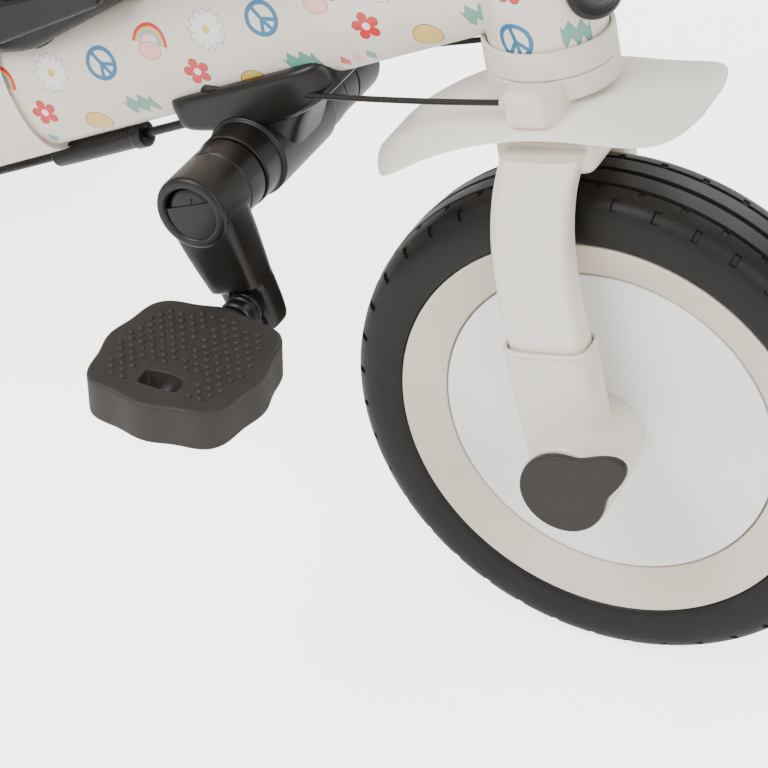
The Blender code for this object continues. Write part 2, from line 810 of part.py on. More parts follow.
def crank(side, word):
    name = "crank_" + word
    inner, outer = 0.0412, 0.0800
    head_piece = rod(
        name,
        0.0178,
        outer - inner,
        ROUND_SIDES,
        across(CRANK_X, side * inner, CRANK_Z, side),
        BLACK,
        0.0015,
    )
    end_x, end_z = crank_end(side)
    down = Vector((end_x - CRANK_X, 0, end_z - CRANK_Z)).normalized()
    outward = Vector((0, side, 0))
    edge = down.cross(outward)
    turn = Matrix((edge, outward, down)).transposed().to_4x4()
    frame = move(CRANK_X, 0, CRANK_Z) @ turn
    rings = []
    for along, half, low, high in (
        (0.0, 0.0172, 0.0560, 0.0795),
        (0.0180, 0.0155, 0.0550, 0.0790),
        (0.0420, 0.0125, 0.0545, 0.0760),
        (0.0470, 0.0122, 0.0545, 0.0700),
        (0.0640, 0.0110, 0.0545, 0.0690),
        (0.0680, 0.0085, 0.0560, 0.0680),
    ):
        middle, deep = (low + high) / 2, (high - low) / 2
        rings.append([Vector((u, middle + v, along)) for u, v in oval(half, deep, 12, 5.0)])
    join(head_piece, loft("arm", rings, frame, None))
    boss = across(end_x, side * 0.0660, end_z, side)
    join(head_piece, rod("boss", 0.0085, 0.0160, ROUND_SIDES, boss, None, 0.001))
    cut(
        head_piece,
        rod("hole", 0.0078, 0.0200, ROUND_SIDES, across(CRANK_X, side * 0.0405, CRANK_Z, side), None),
    )
    cut(
        head_piece,
        rod("hole", 0.0124, 0.0200, ROUND_SIDES, across(CRANK_X, side * 0.0655, CRANK_Z, side), None),
    )
    hole = rod("hole", 0.0043, 0.0140, SMALL_SIDES, across(end_x, side * 0.0690, end_z, side), None)
    cut(head_piece, hole)
    finish(head_piece, BLACK)
    button = [(0, 0.0120), (0.0080, 0.0118), (0.0112, 0.0110), (0.0120, 0.0098), (0.0120, 0)]
    frame = across(CRANK_X, side * 0.0690, CRANK_Z, side)
    turned("crank_button_" + word, button + [(0, 0)], ROUND_SIDES, frame, BLACK)


def pedal(side, word):
    end_x, end_z = crank_end(side)
    centre_y = side * 0.1260
    frame = move(end_x + 0.0005, centre_y, end_z)
    body = plate("pedal_" + word, [pedal_outline()], PEDAL_THICKNESS, frame, PEDAL_GREY)
    soften(body, 0.0012, 1)
    window = block(
        "window",
        (0.0200, 0.0110, 0.0400),
        move(end_x, side * 0.1470, end_z),
        None,
    )
    cut(body, window)
    bore = rod("bore", 0.0043, 0.0900, SMALL_SIDES, across(end_x, side * 0.0700, end_z, side), None)
    cut(body, bore)
    finish(body, PEDAL_GREY)
    frame = across(end_x, side * 0.0695, end_z, side)
    rod("pedal_spindle_" + word, 0.0040, 0.0830, SMALL_SIDES, frame, STEEL, 0.0005)


# --- rear frame, seat and push handle -----------------------------------------------------
def rear_housing():
    """The ivory moulding that takes the tube's end and spreads out to the rear axle."""
    rings = []
    for along, half_h, half_w, lift in (
        (-0.1130, 0.0348, 0.0258, 0.0),
        (-0.1700, 0.0355, 0.0270, 0.0),
        (-0.2350, 0.0370, 0.0330, 0.0),
        (-0.3200, 0.0350, 0.0450, -0.0050),
        (-0.3850, 0.0230, 0.0500, -0.0050),
    ):
        outline = oval(half_h, half_w, 24, 2.3)
        rings.append([Vector((u - lift, v, along)) for u, v in outline])
    body = loft("rear_housing", rings, ALONG_TUBE, IVORY)
    beam_length = 2 * (REAR_TRACK - TYRE_HALF_WIDTH - 0.006)
    beam = rod(
        "beam",
        0.0210,
        beam_length,
        ROUND_SIDES,
        across(-WHEELBASE, -beam_length / 2, REAR_RADIUS, 1),
        None,
        0.003,
    )
    pieces = [beam]
    for y in (0.0830, 0.1210):
        ear = block("ear", (0.0440, 0.0060, 0.0200), move(-0.5670, y, 0.1000), None, 0.0015)
        pieces.append(ear)
    for piece in pieces:
        join(body, piece, "MANIFOLD")
    channel = ALONG_TUBE @ Matrix.Translation((SHEATH_DEPTH, 0, -0.206))
    for cutter in (
        tube_bed(-TUBE_REAR - GAP, 0.0),
        rod("hole", 0.0063, 0.5, SMALL_SIDES, across(-WHEELBASE, -0.25, REAR_RADIUS, 1), None),
        rod("hole", 0.0072, 0.110, SMALL_SIDES, channel, None),
        rod("hole", 0.0165 + GAP, 0.2, ROUND_SIDES, PUSH @ move_up(-0.030), None),
        rod("hole", 0.0033, 0.08, SMALL_SIDES, across(*BRAKE_PIN, 1), None),
    ):
        cut(body, cutter, "MANIFOLD")
    finish(body, IVORY)


def push_handle():
    """The lower tube turns about its own axis; the upper one slides in it and ends in a T grip."""
    made = rod("push_tube_lower", 0.0165, 0.3290, ROUND_SIDES, PUSH @ move_up(-0.0290), IVORY)
    cut(made, rod("hole", 0.0137, 0.330, ROUND_SIDES, PUSH @ move_up(-0.0200), None))
    finish(made, IVORY)
    top = 0.770
    low = 0.145
    pipe("push_tube_upper", 0.0132, 0.0118, top - low, ROUND_SIDES, PUSH @ move_up(low), STEEL)
    frame = (
        PUSH
        @ Matrix.Translation((0, -0.110, top + 0.0175))
        @ Matrix.Rotation(math.radians(-90), 4, "X")
    )
    grip = rod("push_grip", 0.0170, 0.220, ROUND_SIDES, frame, PEDAL_GREY, 0.004)
    boss = rod("boss", 0.0185, 0.050, ROUND_SIDES, PUSH @ move_up(top - 0.035), None, 0.002)
    join(grip, boss)
    cut(grip, rod("hole", 0.0135, 0.0400, ROUND_SIDES, PUSH @ move_up(top - 0.0397), None))
    finish(grip, PEDAL_GREY)


def brake():
    """A foot pedal behind the axle beam, on a pin between the beam's two ears."""
    x, y, z = BRAKE_PIN
    rod("brake_pin", 0.0030, 0.0500, SMALL_SIDES, across(x, y, z, 1), STEEL)
    ring = rod("brake_pedal", 0.0085, 0.0310, SMALL_SIDES, across(x, 0.0865, z, 1), BLACK)
    lever = block("lever", (0.0480, 0.0310, 0.0080), move(x - 0.0260, 0.1020, z + 0.0030), None, 0.002)
    join(ring, lever)
    cut(ring, rod("hole", 0.0033, 0.06, SMALL_SIDES, across(x, 0.08, z, 1), None))
    finish(ring, BLACK)


def seat():
    clamp = loft("seat_clamp", clamp_rings(), ALONG_TUBE, BLACK)
    join(clamp, loft("post", post_rings(), Matrix.Identity(4), None))
    cut(clamp, tube_bed(-0.2, 0.1))
    lever_frame = ALONG_TUBE @ Matrix.Translation((-0.0420, -0.0300, -0.0900))
    lever_frame = lever_frame @ Matrix.Rotation(math.radians(90), 4, "X")
    cut(clamp, rod("hole", 0.0045, 0.030, SMALL_SIDES, lever_frame @ move_up(-0.012), None))
    finish(clamp, BLACK)
    turn = Matrix.Rotation(math.radians(90), 4, "Z")
    frame = lever_frame @ move_up(0.0040) @ turn
    lever = plate("seat_lever", [stadium(0.0095, 0.0060, 0.060)], 0.0070, frame, BLACK)
    join(lever, rod("pin", 0.0042, 0.012, SMALL_SIDES, lever_frame @ move_up(-0.009), None))
    finish(lever, BLACK)
    seat_shell()


def clamp_rings():
    """Rings along the tube: how low the saddle's skirts hang at each."""
    rings = []
    for along, half_w, low in (
        (-0.1120, 0.0250, -0.0270),
        (-0.1020, 0.0290, -0.0250),
        (-0.0830, 0.0300, -0.0230),
        (-0.0620, 0.0290, -0.0260),
        (-0.0200, 0.0220, -0.0320),
    ):
        top = -TUBE_HALF_HEIGHT - 0.0160
        ring = [(low, -half_w), (low, half_w), (top + 0.006, half_w), (top, half_w - 0.006)]
        ring += [(top, -half_w + 0.006), (top + 0.006, -half_w)]
        rings.append([Vector((x, y, along)) for x, y in ring])
    return rings


def post_rings():
    """The pillar from the clamp up to the underside of the seat."""
    rings = []
    for z, x, half_x, half_y in (
        (0.2560, -0.2950, 0.0200, 0.0190),
        (0.2900, -0.3000, 0.0280, 0.0210),
        (SEAT_TOP - 0.0095, -0.3150, 0.0480, 0.0350),
    ):
        rings.append([at(x + u, v, z) for u, v in oval(half_x, half_y, 20, 3.0)])
    return rings


SEAT_SIDE = (
    (0.165, -0.012),
    (0.150, 0.004),
    (0.090, 0.004),
    (0.000, -0.004),
    (-0.060, 0.002),
    (-0.095, 0.020),
    (-0.118, 0.070),
    (-0.140, 0.150),
    (-0.160, 0.225),
    (-0.167, 0.250),
)
SEAT_HALF = (0.070, 0.088, 0.105, 0.125, 0.132, 0.134, 0.132, 0.122, 0.100, 0.070)


def seat_rings(raise_by, thick, narrow, first, last, lip):
    """Cross-sections of the seat from front to top: a dished strip with turned-up sides."""
    rings = []
    rows = list(zip(SEAT_SIDE, SEAT_HALF))[first:last]
    sides = [Vector((x, 0, z)) for (x, z), half in rows]
    for i, ((x, z), half) in enumerate(rows):
        before, after = sides[max(0, i - 1)], sides[min(len(rows) - 1, i + 1)]
        along = (after - before).normalized()
        up = Vector((0, 1, 0)).cross(along)
        middle = at(SEAT_X + x, 0, SEAT_TOP + z)
        top, bottom = [], []
        for k in range(9):
            u = 2 * k / 8 - 1
            curl = lip * abs(u) ** 3
            side = Vector((0, u * (half - narrow), 0))
            top.append(middle + side + up * (raise_by + curl))
            bottom.append(middle + side + up * (raise_by + curl * 0.9 - thick))
        rings.append(top + bottom[::-1])
    return rings


def seat_shell():
    shell = loft("seat_shell", seat_rings(0.0, 0.0045, 0.0, 0, 10, 0.030), Matrix.Identity(4), IVORY)
    finish(shell, IVORY)
    loft("seat_cushion", seat_rings(0.0185, 0.018, 0.014, 1, 5, 0.026), Matrix.Identity(4), FABRIC)
    loft("back_cushion", seat_rings(0.0185, 0.018, 0.014, 6, 10, 0.026), Matrix.Identity(4), FABRIC)


def build():
    front_wheel()
    rear_wheels()
    fork()
    hub_knobs()
    collars()
    head()
    fender()
    handlebar()
    main_tube()
    crank_housing()
    cables()
    cranks()
    rear_housing()
    push_handle()
    brake()
    seat()


build()
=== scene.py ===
# %% [markdown]
# # A children's tricycle
# The tricycle has one steered front wheel, cranks and pedals on a tube under the frame, a bucket
# seat, and a push handle behind it. The measured solids are loaded first. They say where each
# piece goes and what it moves with, so every new piece is written in their metres:
# +X is forward, +Y is the rider's left, +Z is up, and the ground is Z = 0.

# %% Load the measured frame
import math

import bmesh
import bpy
from mathutils import Matrix, Vector
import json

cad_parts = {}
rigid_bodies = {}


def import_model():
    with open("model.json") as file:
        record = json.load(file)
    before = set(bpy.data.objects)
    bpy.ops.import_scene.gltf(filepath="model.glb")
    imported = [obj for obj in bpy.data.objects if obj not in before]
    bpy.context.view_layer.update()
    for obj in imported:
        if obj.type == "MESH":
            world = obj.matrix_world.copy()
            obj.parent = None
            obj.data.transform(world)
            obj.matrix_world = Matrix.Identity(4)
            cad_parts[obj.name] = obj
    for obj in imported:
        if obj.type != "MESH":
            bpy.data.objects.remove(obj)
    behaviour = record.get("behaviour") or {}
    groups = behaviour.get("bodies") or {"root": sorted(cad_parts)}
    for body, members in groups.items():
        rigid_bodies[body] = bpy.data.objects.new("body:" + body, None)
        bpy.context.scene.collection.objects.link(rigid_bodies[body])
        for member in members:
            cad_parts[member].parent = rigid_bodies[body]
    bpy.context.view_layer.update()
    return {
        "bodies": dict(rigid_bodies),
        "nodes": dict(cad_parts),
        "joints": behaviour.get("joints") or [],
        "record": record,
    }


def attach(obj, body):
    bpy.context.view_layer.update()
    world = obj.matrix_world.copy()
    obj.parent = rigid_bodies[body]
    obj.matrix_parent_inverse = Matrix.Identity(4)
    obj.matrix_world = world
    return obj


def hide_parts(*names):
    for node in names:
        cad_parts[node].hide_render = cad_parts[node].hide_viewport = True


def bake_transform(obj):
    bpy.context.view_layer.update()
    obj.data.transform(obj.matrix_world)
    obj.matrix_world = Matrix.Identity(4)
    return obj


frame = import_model()

# %% [markdown]
# ## Camera, floor and light
# The view looks down on the front wheel and the pedal from the rider's right. A long lens keeps
# the wheel's circles nearly true. The floor is one pale plane, and three large area lights stand
# in for a studio's soft boxes, because small lights would draw hard shadows under the mudguard.

# %% Camera
AXLE_X = 0.29512


def look_from(place, tilt, turn, lens):
    camera = bpy.data.objects.new("camera", bpy.data.cameras.new("camera"))
    camera.data.lens = lens
    camera.data.sensor_width = 36
    camera.location = place
    camera.rotation_euler = (math.radians(tilt), 0, math.radians(turn))
    bpy.context.scene.collection.objects.link(camera)
    bpy.context.scene.camera = camera
    return camera


view = look_from((AXLE_X + 0.2842, -0.8535, 0.7987), 53.6, 25.4, 112.5)
print("camera", tuple(round(v, 3) for v in view.location))


# %% Floor and soft boxes
def soft_box(name, place, aim, width, watts):
    light = bpy.data.lights.new(name, "AREA")
    light.shape = "DISK"
    light.size = width
    light.energy = watts
    item = bpy.data.objects.new(name, light)
    item.location = place
    away = Vector(place) - Vector(aim)
    item.rotation_euler = away.to_track_quat("Z", "Y").to_euler()
    bpy.context.scene.collection.objects.link(item)


soft_box("key_box", (-0.9, -1.5, 2.1), (0.1, 0, 0.2), 1.8, 76)
soft_box("fill_box", (1.9, -1.3, 1.3), (0.2, 0, 0.2), 1.8, 26)
soft_box("back_box", (0.6, 2.0, 1.6), (0.1, 0, 0.3), 1.6, 24)
world = bpy.data.worlds.new("studio")
world.use_nodes = True
world.node_tree.nodes["Background"].inputs["Color"].default_value = (1, 1, 1, 1)
world.node_tree.nodes["Background"].inputs["Strength"].default_value = 0.85
bpy.context.scene.world = world

floor_mesh = bmesh.new()
bmesh.ops.create_grid(floor_mesh, x_segments=1, y_segments=1, size=8)
floor_data = bpy.data.meshes.new("floor")
floor_mesh.to_mesh(floor_data)
floor_mesh.free()
floor = bpy.data.objects.new("floor", floor_data)
bpy.context.scene.collection.objects.link(floor)
paper = bpy.data.materials.new("floor_paper")
paper.use_nodes = True
paper.node_tree.nodes["Principled BSDF"].inputs["Base Color"].default_value = (0.93, 0.93, 0.92, 1)
paper.node_tree.nodes["Principled BSDF"].inputs["Roughness"].default_value = 0.9
paper.node_tree.nodes["Principled BSDF"].inputs["Emission Color"].default_value = (1, 1, 1, 1)
seen = paper.node_tree.nodes.new("ShaderNodeLightPath").outputs["Is Camera Ray"]
glow = paper.node_tree.nodes.new("ShaderNodeMath")
glow.operation = "MULTIPLY_ADD"
glow.inputs[1].default_value = 2.4
glow.inputs[2].default_value = 0.35
paper.node_tree.links.new(seen, glow.inputs[0])
paper.node_tree.links.new(
    glow.outputs[0], paper.node_tree.nodes["Principled BSDF"].inputs["Emission Strength"]
)
floor_data.materials.append(paper)

# %% [markdown]
# ## Finishes
# Almost every piece is moulded or painted, and no real moulding is one flat colour: it has a fine
# grain, slow changes of tone, and patches that have been rubbed smoother. One node group makes
# those three, and each finish places the group with its own colour, scale and depth.


# %% The moulded surface group
def new_group(name, inputs, outputs):
    group = bpy.data.node_groups.new(name, "ShaderNodeTree")
    for socket, kind, value in inputs:
        made = group.interface.new_socket(socket, in_out="INPUT", socket_type="NodeSocket" + kind)
        if value is not None:
            made.default_value = value
    for socket, kind in outputs:
        group.interface.new_socket(socket, in_out="OUTPUT", socket_type="NodeSocket" + kind)
    return group, group.nodes.new("NodeGroupInput"), group.nodes.new("NodeGroupOutput")


def wire(tree, kind, feeds=(), **settings):
    """Adds a node, sets its settings, and feeds its inputs with sockets or plain values."""
    node = tree.nodes.new("ShaderNode" + kind)
    for key, value in settings.items():
        setattr(node, key, value)
    for slot, source in dict(feeds).items():
        if isinstance(source, bpy.types.NodeSocket):
            tree.links.new(source, node.inputs[slot])
        else:
            node.inputs[slot].default_value = source
    return node


def number(tree, operation, a, b=0.0, c=0.0):
    return wire(tree, "Math", {0: a, 1: b, 2: c}, operation=operation).outputs[0]


def blend_colours(tree, share, under, over, kind="MIX"):
    node = tree.nodes.new("ShaderNodeMix")
    node.data_type = "RGBA"
    node.blend_type = kind
    for slot, source in ((0, share), (6, under), (7, over)):
        if isinstance(source, bpy.types.NodeSocket):
            tree.links.new(source, node.inputs[slot])
        else:
            node.inputs[slot].default_value = source
    return node.outputs[2]


def build_surface_group():
    group, given, out = new_group(
        "moulded surface",
        (
            ("Place", "Vector", None),
            ("Colour", "Color", (0.5, 0.5, 0.5, 1)),
            ("Roughness", "Float", 0.4),
            ("Grain", "Float", 900.0),
            ("Tone", "Float", 0.06),
            ("Rub", "Float", 0.1),
        ),
        (("Colour", "Color"), ("Roughness", "Float"), ("Height", "Float")),
    )
    place = given.outputs["Place"]
    slow = wire(group, "TexNoise", {"Vector": place, "Scale": 14.0, "Detail": 3.0})
    cloudy = number(group, "SUBTRACT", slow.outputs["Fac"], 0.5)
    shade = number(group, "MULTIPLY_ADD", cloudy, given.outputs["Tone"], 1.0)
    grey = wire(group, "CombineColor", {0: shade, 1: shade, 2: shade})
    tinted = blend_colours(group, 1.0, given.outputs["Colour"], grey.outputs[0], "MULTIPLY")
    rubbed = wire(group, "TexNoise", {"Vector": place, "Scale": 45.0, "Detail": 4.0, "Distortion": 0.6})
    change = number(group, "SUBTRACT", rubbed.outputs["Fac"], 0.5)
    rough = number(group, "MULTIPLY_ADD", change, given.outputs["Rub"], given.outputs["Roughness"])
    grain = wire(group, "TexNoise", {"Vector": place, "Scale": given.outputs["Grain"], "Detail": 2.0})
    group.links.new(tinted, out.inputs["Colour"])
    group.links.new(rough, out.inputs["Roughness"])
    group.links.new(grain.outputs["Fac"], out.inputs["Height"])
    return group


surface_group = build_surface_group()
print("group sockets", [s.name for s in surface_group.interface.items_tree])


# %% Plain finishes
def new_finish(name, metallic=0.0, coat=0.0, sheen=0.0, shine=0.5):
    material = bpy.data.materials.new(name)
    material.use_nodes = True
    shader = material.node_tree.nodes["Principled BSDF"]
    shader.inputs["Metallic"].default_value = metallic
    shader.inputs["Coat Weight"].default_value = coat
    shader.inputs["Coat Roughness"].default_value = 0.12
    shader.inputs["Specular IOR Level"].default_value = shine
    shader.inputs["Sheen Weight"].default_value = sheen
    return material, material.node_tree, shader


def moulded(name, colour, roughness, grain, depth, tone=0.06, rub=0.1, **more):
    """A finish of one colour from the moulded surface group, with the grain as a bump."""
    material, tree, shader = new_finish(name, **more)
    place = wire(tree, "TexCoord").outputs["Object"]
    skin = wire(tree, "Group", node_tree=surface_group)
    feeds = {"Colour": (*colour, 1), "Roughness": roughness, "Grain": grain, "Tone": tone, "Rub": rub}
    for socket, value in feeds.items():
        skin.inputs[socket].default_value = value
    tree.links.new(place, skin.inputs["Place"])
    bump = wire(tree, "Bump", {"Height": skin.outputs["Height"], "Distance": depth, "Strength": 0.5})
    tree.links.new(skin.outputs["Colour"], shader.inputs["Base Color"])
    tree.links.new(skin.outputs["Roughness"], shader.inputs["Roughness"])
    tree.links.new(bump.outputs["Normal"], shader.inputs["Normal"])
    return material


ivory_paint = moulded("ivory_paint", (0.78, 0.715, 0.62), 0.34, 500, 0.00004, coat=0.25)
ivory_plastic = moulded("ivory_plastic", (0.78, 0.715, 0.62), 0.40, 900, 0.00006)
cream_plastic = moulded("cream_plastic", (0.72, 0.66, 0.575), 0.46, 1100, 0.00008)
white_plastic = moulded("white_plastic", (0.86, 0.85, 0.83), 0.42, 1000, 0.00006)
mudguard_plastic = moulded("mudguard_plastic", (0.84, 0.79, 0.71), 0.40, 1000, 0.00005)
rim_plastic = moulded("rim_plastic", (0.64, 0.565, 0.47), 0.55, 1200, 0.00008)
black_plastic = moulded("black_plastic", (0.0085, 0.0070, 0.0060), 0.30, 700, 0.00010, 0.25, 0.2, shine=0.36)
knob_plastic = moulded("knob_plastic", (0.022, 0.0185, 0.016), 0.48, 1100, 0.00010, 0.10, 0.10, shine=0.30)
pedal_plastic = moulded("pedal_plastic", (0.026, 0.0225, 0.020), 0.52, 1300, 0.00012, 0.15, 0.15, shine=0.28)
grip_rubber = moulded("grip_rubber", (0.050, 0.046, 0.042), 0.72, 1500, 0.00012, 0.15, 0.10)
print("plain finishes", len([m for m in bpy.data.materials if "plastic" in m.name]))

# %% [markdown]
# ## Tyre rubber, brushed steel and woven cloth
# These three follow the shape they are on. The tyre has faint rings left by its mould and a dusty
# tread, the steel is brushed along its length, and the cushions are a plain weave. Each is built
# from waves or stretched noise on Object coordinates.


# %% Tyre rubber
def build_tyre_rubber():
    material, tree, shader = new_finish("tyre_rubber", shine=0.25)
    place = wire(tree, "TexCoord").outputs["Object"]
    skin = wire(tree, "Group", {}, node_tree=surface_group)
    skin.inputs["Colour"].default_value = (0.0085, 0.0072, 0.0062, 1)
    skin.inputs["Roughness"].default_value = 0.42
    skin.inputs["Grain"].default_value = 1400
    skin.inputs["Tone"].default_value = 0.5
    skin.inputs["Rub"].default_value = 0.22
    tree.links.new(place, skin.inputs["Place"])
    dust = wire(tree, "TexNoise", {"Vector": place, "Scale": 60.0, "Detail": 6.0, "Roughness": 0.7})
    specks = wire(tree, "MapRange", {0: dust.outputs["Fac"], 1: 0.52, 2: 0.85, 3: 0.0, 4: 0.20})
    colour = blend_colours(tree, specks.outputs[0], skin.outputs["Colour"], (0.026, 0.023, 0.020, 1))
    bump = wire(tree, "Bump", {"Height": skin.outputs["Height"], "Distance": 0.0002, "Strength": 0.5})
    tree.links.new(colour, shader.inputs["Base Color"])
    tree.links.new(skin.outputs["Roughness"], shader.inputs["Roughness"])
    tree.links.new(bump.outputs["Normal"], shader.inputs["Normal"])
    return material


tyre_rubber = build_tyre_rubber()


# %% Brushed steel
def build_steel(name, colour, roughness, stretch):
    material, tree, shader = new_finish(name, metallic=1.0)
    place = wire(tree, "TexCoord").outputs["Object"]
    along = wire(tree, "Mapping", {"Vector": place, "Scale": stretch})
    lines = wire(tree, "TexNoise", {"Vector": along.outputs[0], "Scale": 600.0, "Detail": 3.0})
    tone = wire(tree, "MapRange", {0: lines.outputs["Fac"], 3: 0.88, 4: 1.08})
    grey = wire(tree, "CombineColor", {0: tone.outputs[0], 1: tone.outputs[0], 2: tone.outputs[0]})
    tinted = blend_colours(tree, 1.0, (*colour, 1), grey.outputs[0], "MULTIPLY")
    rough = wire(tree, "MapRange", {0: lines.outputs["Fac"], 3: roughness - 0.06, 4: roughness + 0.10})
    bump = wire(tree, "Bump", {"Height": lines.outputs["Fac"], "Distance": 0.00004, "Strength": 0.4})
    tree.links.new(tinted, shader.inputs["Base Color"])
    tree.links.new(rough.outputs[0], shader.inputs["Roughness"])
    tree.links.new(bump.outputs["Normal"], shader.inputs["Normal"])
    return material


bar_steel = build_steel("bar_steel", (0.60, 0.60, 0.61), 0.26, (1.0, 0.05, 1.0))
rod_steel = build_steel("rod_steel", (0.66, 0.66, 0.66), 0.22, (1.0, 0.08, 1.0))
pole_steel = build_steel("pole_steel", (0.62, 0.62, 0.63), 0.24, (1.0, 1.0, 0.04))


# %% Woven cloth
def build_weave_group():
    """Threads over and under: a fine chequer of two sine waves gives each thread's crown."""
    group, given, out = new_group(
        "plain weave",
        (("Place", "Vector", None), ("Threads", "Float", 900.0)),
        (("Height", "Float"), ("Gap", "Float")),
    )
    apart = wire(group, "SeparateXYZ", {0: given.outputs["Place"]})
    waves = []
    for axis in (0, 1):
        spread = number(group, "MULTIPLY_ADD", apart.outputs[2], 0.6, apart.outputs[axis])
        phase = number(group, "MULTIPLY", spread, given.outputs["Threads"])
        waves.append(number(group, "SINE", phase))
    crossing = number(group, "MULTIPLY", waves[0], waves[1])
    height = number(group, "MULTIPLY_ADD", crossing, 0.5, 0.5)
    # Gap marks the weave's deepest hollows between the crossings, where the cloth finish paints shade.
    gap = number(group, "LESS_THAN", height, 0.16)
    group.links.new(height, out.inputs["Height"])
    group.links.new(gap, out.inputs["Gap"])
    return group


def build_cloth(name, colour, dark):
    material, tree, shader = new_finish(name, sheen=0.25)
    shader.inputs["Roughness"].default_value = 0.88
    place = wire(tree, "TexCoord").outputs["Object"]
    weave = wire(tree, "Group", {}, node_tree=weave_group)
    weave.inputs["Threads"].default_value = 2300
    tree.links.new(place, weave.inputs["Place"])
    slub = wire(tree, "TexNoise", {"Vector": place, "Scale": 160.0, "Detail": 4.0})
    share = wire(tree, "MapRange", {0: slub.outputs["Fac"], 1: 0.35, 2: 0.7, 3: 0.0, 4: 0.45})
    base = blend_colours(tree, share.outputs[0], (*colour, 1), (*dark, 1))
    # Painted shade: the weave's hollows are darkened halfway towards the dark colour, as shade between the
    # threads.
    thread = number(tree, "MULTIPLY", weave.outputs["Gap"], 0.5)
    woven = blend_colours(tree, thread, base, (*dark, 1))
    bump = wire(tree, "Bump", {"Height": weave.outputs["Height"], "Distance": 0.0004, "Strength": 0.6})
    tree.links.new(woven, shader.inputs["Base Color"])
    tree.links.new(bump.outputs["Normal"], shader.inputs["Normal"])
    return material


weave_group = build_weave_group()
seat_cloth = build_cloth("seat_cloth", (0.40, 0.355, 0.30), (0.22, 0.19, 0.16))
piping_cloth = build_cloth("piping_cloth", (0.60, 0.55, 0.48), (0.40, 0.36, 0.31))
print("cloth and steel ready")

# %% [markdown]
# ## Places and shaping helpers
# Four frames carry everything: the steering axis, the main tube's axis, the push handle's axis, and
# the line across each axle. Most pieces of a tricycle are either turned, like a wheel or a cap, or
# drawn along a line with a changing section, like a fork leg. A spin makes the first kind and a
# loft of bridged hoops makes the second, so these two helpers shape nearly everything.


# %% Places on the tricycle
def at(x, y, z):
    """A point given from the front axle along X."""
    return Vector((x + AXLE_X, y, z))


def move(x, y, z):
    return Matrix.Translation(at(x, y, z))


def up(height):
    return Matrix.Translation((0, 0, height))


def across(x, y, z, side):
    """A frame with +Z outwards along an axle: side is -1 on the rider's right, 1 on the left."""
    return move(x, y, z) @ Matrix.Rotation(math.radians(-90 * side), 4, "X")


HUB_Z = 0.127
STEER = move(-0.0059, 0, HUB_Z) @ Matrix.Rotation(math.radians(-11.4), 4, "Y")
ALONG_TUBE = move(-0.205, 0, 0.2766) @ Matrix.Rotation(math.radians(90 - 26.5), 4, "Y")
PUSH = move(-0.470, 0, 0.205) @ Matrix.Rotation(math.radians(-17), 4, "Y")
SIDES = ((-1, "right"), (1, "left"))
REAR_X, REAR_Y, REAR_Z = -0.545, 0.184, 0.100
print("steering axis starts at", tuple(round(v, 4) for v in STEER.translation))


# %% Lines and outlines
def oval(half_x, half_y, count=48, power=2.0):
    """A superellipse: power 2 is an ellipse, and more is squarer."""
    points = []
    for i in range(count):
        c, s = math.cos(2 * math.pi * i / count), math.sin(2 * math.pi * i / count)
        x = half_x * math.copysign(abs(c) ** (2 / power), c)
        y = half_y * math.copysign(abs(s) ** (2 / power), s)
        points.append((x, y))
    return points


def rounded(points, radius, closed, bits=3):
    """A line whose corners are short arcs."""
    out = []
    for i, here in enumerate(points):
        if not closed and i in (0, len(points) - 1):
            out.append(tuple(here))
            continue
        here, last, following = Vector(here), Vector(points[i - 1]), Vector(points[(i + 1) % len(points)])
        reach = min(radius, 0.45 * (last - here).length, 0.45 * (following - here).length)
        a = here + (last - here).normalized() * reach
        b = here + (following - here).normalized() * reach
        for k in range(bits + 1):
            t = k / bits
            out.append(tuple(a * (1 - t) ** 2 + here * (2 * t * (1 - t)) + b * t**2))
    return out


def between(rows, parts=4):
    """More rows of numbers on a smooth curve through the given rows."""
    out = []
    last = len(rows) - 1
    for i in range(last):
        near = (rows[max(i - 1, 0)], rows[i], rows[i + 1], rows[min(i + 2, last)])
        for k in range(parts):
            t = k / parts
            row = []
            for p, q, r, s in zip(*near):
                bend = (2 * p - 5 * q + 4 * r - s) * t**2 + (3 * q - p - 3 * r + s) * t**3
                row.append(q + 0.5 * ((r - p) * t + bend))
            out.append(tuple(row))
    out.append(tuple(rows[-1]))
    return out


# %% Hoops, lofts, spins and tubes
def hoop(bm, points):
    made = bmesh.ops.create_circle(bm, segments=len(points), radius=1.0)["verts"]
    for vert, place in zip(made, points):
        vert.co = place
    return list({edge for vert in made for edge in vert.link_edges})


def loft(bm, outlines, capped=True, looped=False):
    """Skins equal hoops in order. Looped joins the last to the first, as in a ring."""
    hoops = [hoop(bm, points) for points in outlines]
    for low, high in zip(hoops, hoops[1:]):
        bmesh.ops.bridge_loops(bm, edges=low + high)
    if looped:
        bmesh.ops.bridge_loops(bm, edges=hoops[-1] + hoops[0])
    elif capped:
        for end in (hoops[0], hoops[-1]):
            bmesh.ops.contextual_create(bm, geom=end)


def placed(frame, points, height=0.0):
    """Flat outline points put at a height in a frame."""
    return [frame @ Vector((x, y, height)) for x, y in points]


def turn(bm, profile, frame, steps=96, soft=0.0):
    """Spins a line of (radius, height) about the frame's Z. A line off the axis is closed first."""
    closed = profile[0][0] > 0
    if soft:
        profile = rounded(profile, soft, closed)
    before = set(bm.verts)
    line = [bm.verts.new((radius, 0, height)) for radius, height in profile]
    pairs = list(zip(line, line[1:])) + ([(line[-1], line[0])] if closed else [])
    edges = [bm.edges.new(pair) for pair in pairs]
    bmesh.ops.spin(
        bm, geom=line + edges, cent=(0, 0, 0), axis=(0, 0, 1), angle=2 * math.pi, steps=steps, use_merge=True
    )
    made = [vert for vert in bm.verts if vert not in before]
    bmesh.ops.remove_doubles(bm, verts=made, dist=0.000005)
    made = [vert for vert in bm.verts if vert not in before]
    bmesh.ops.transform(bm, matrix=frame, verts=made)
    return made


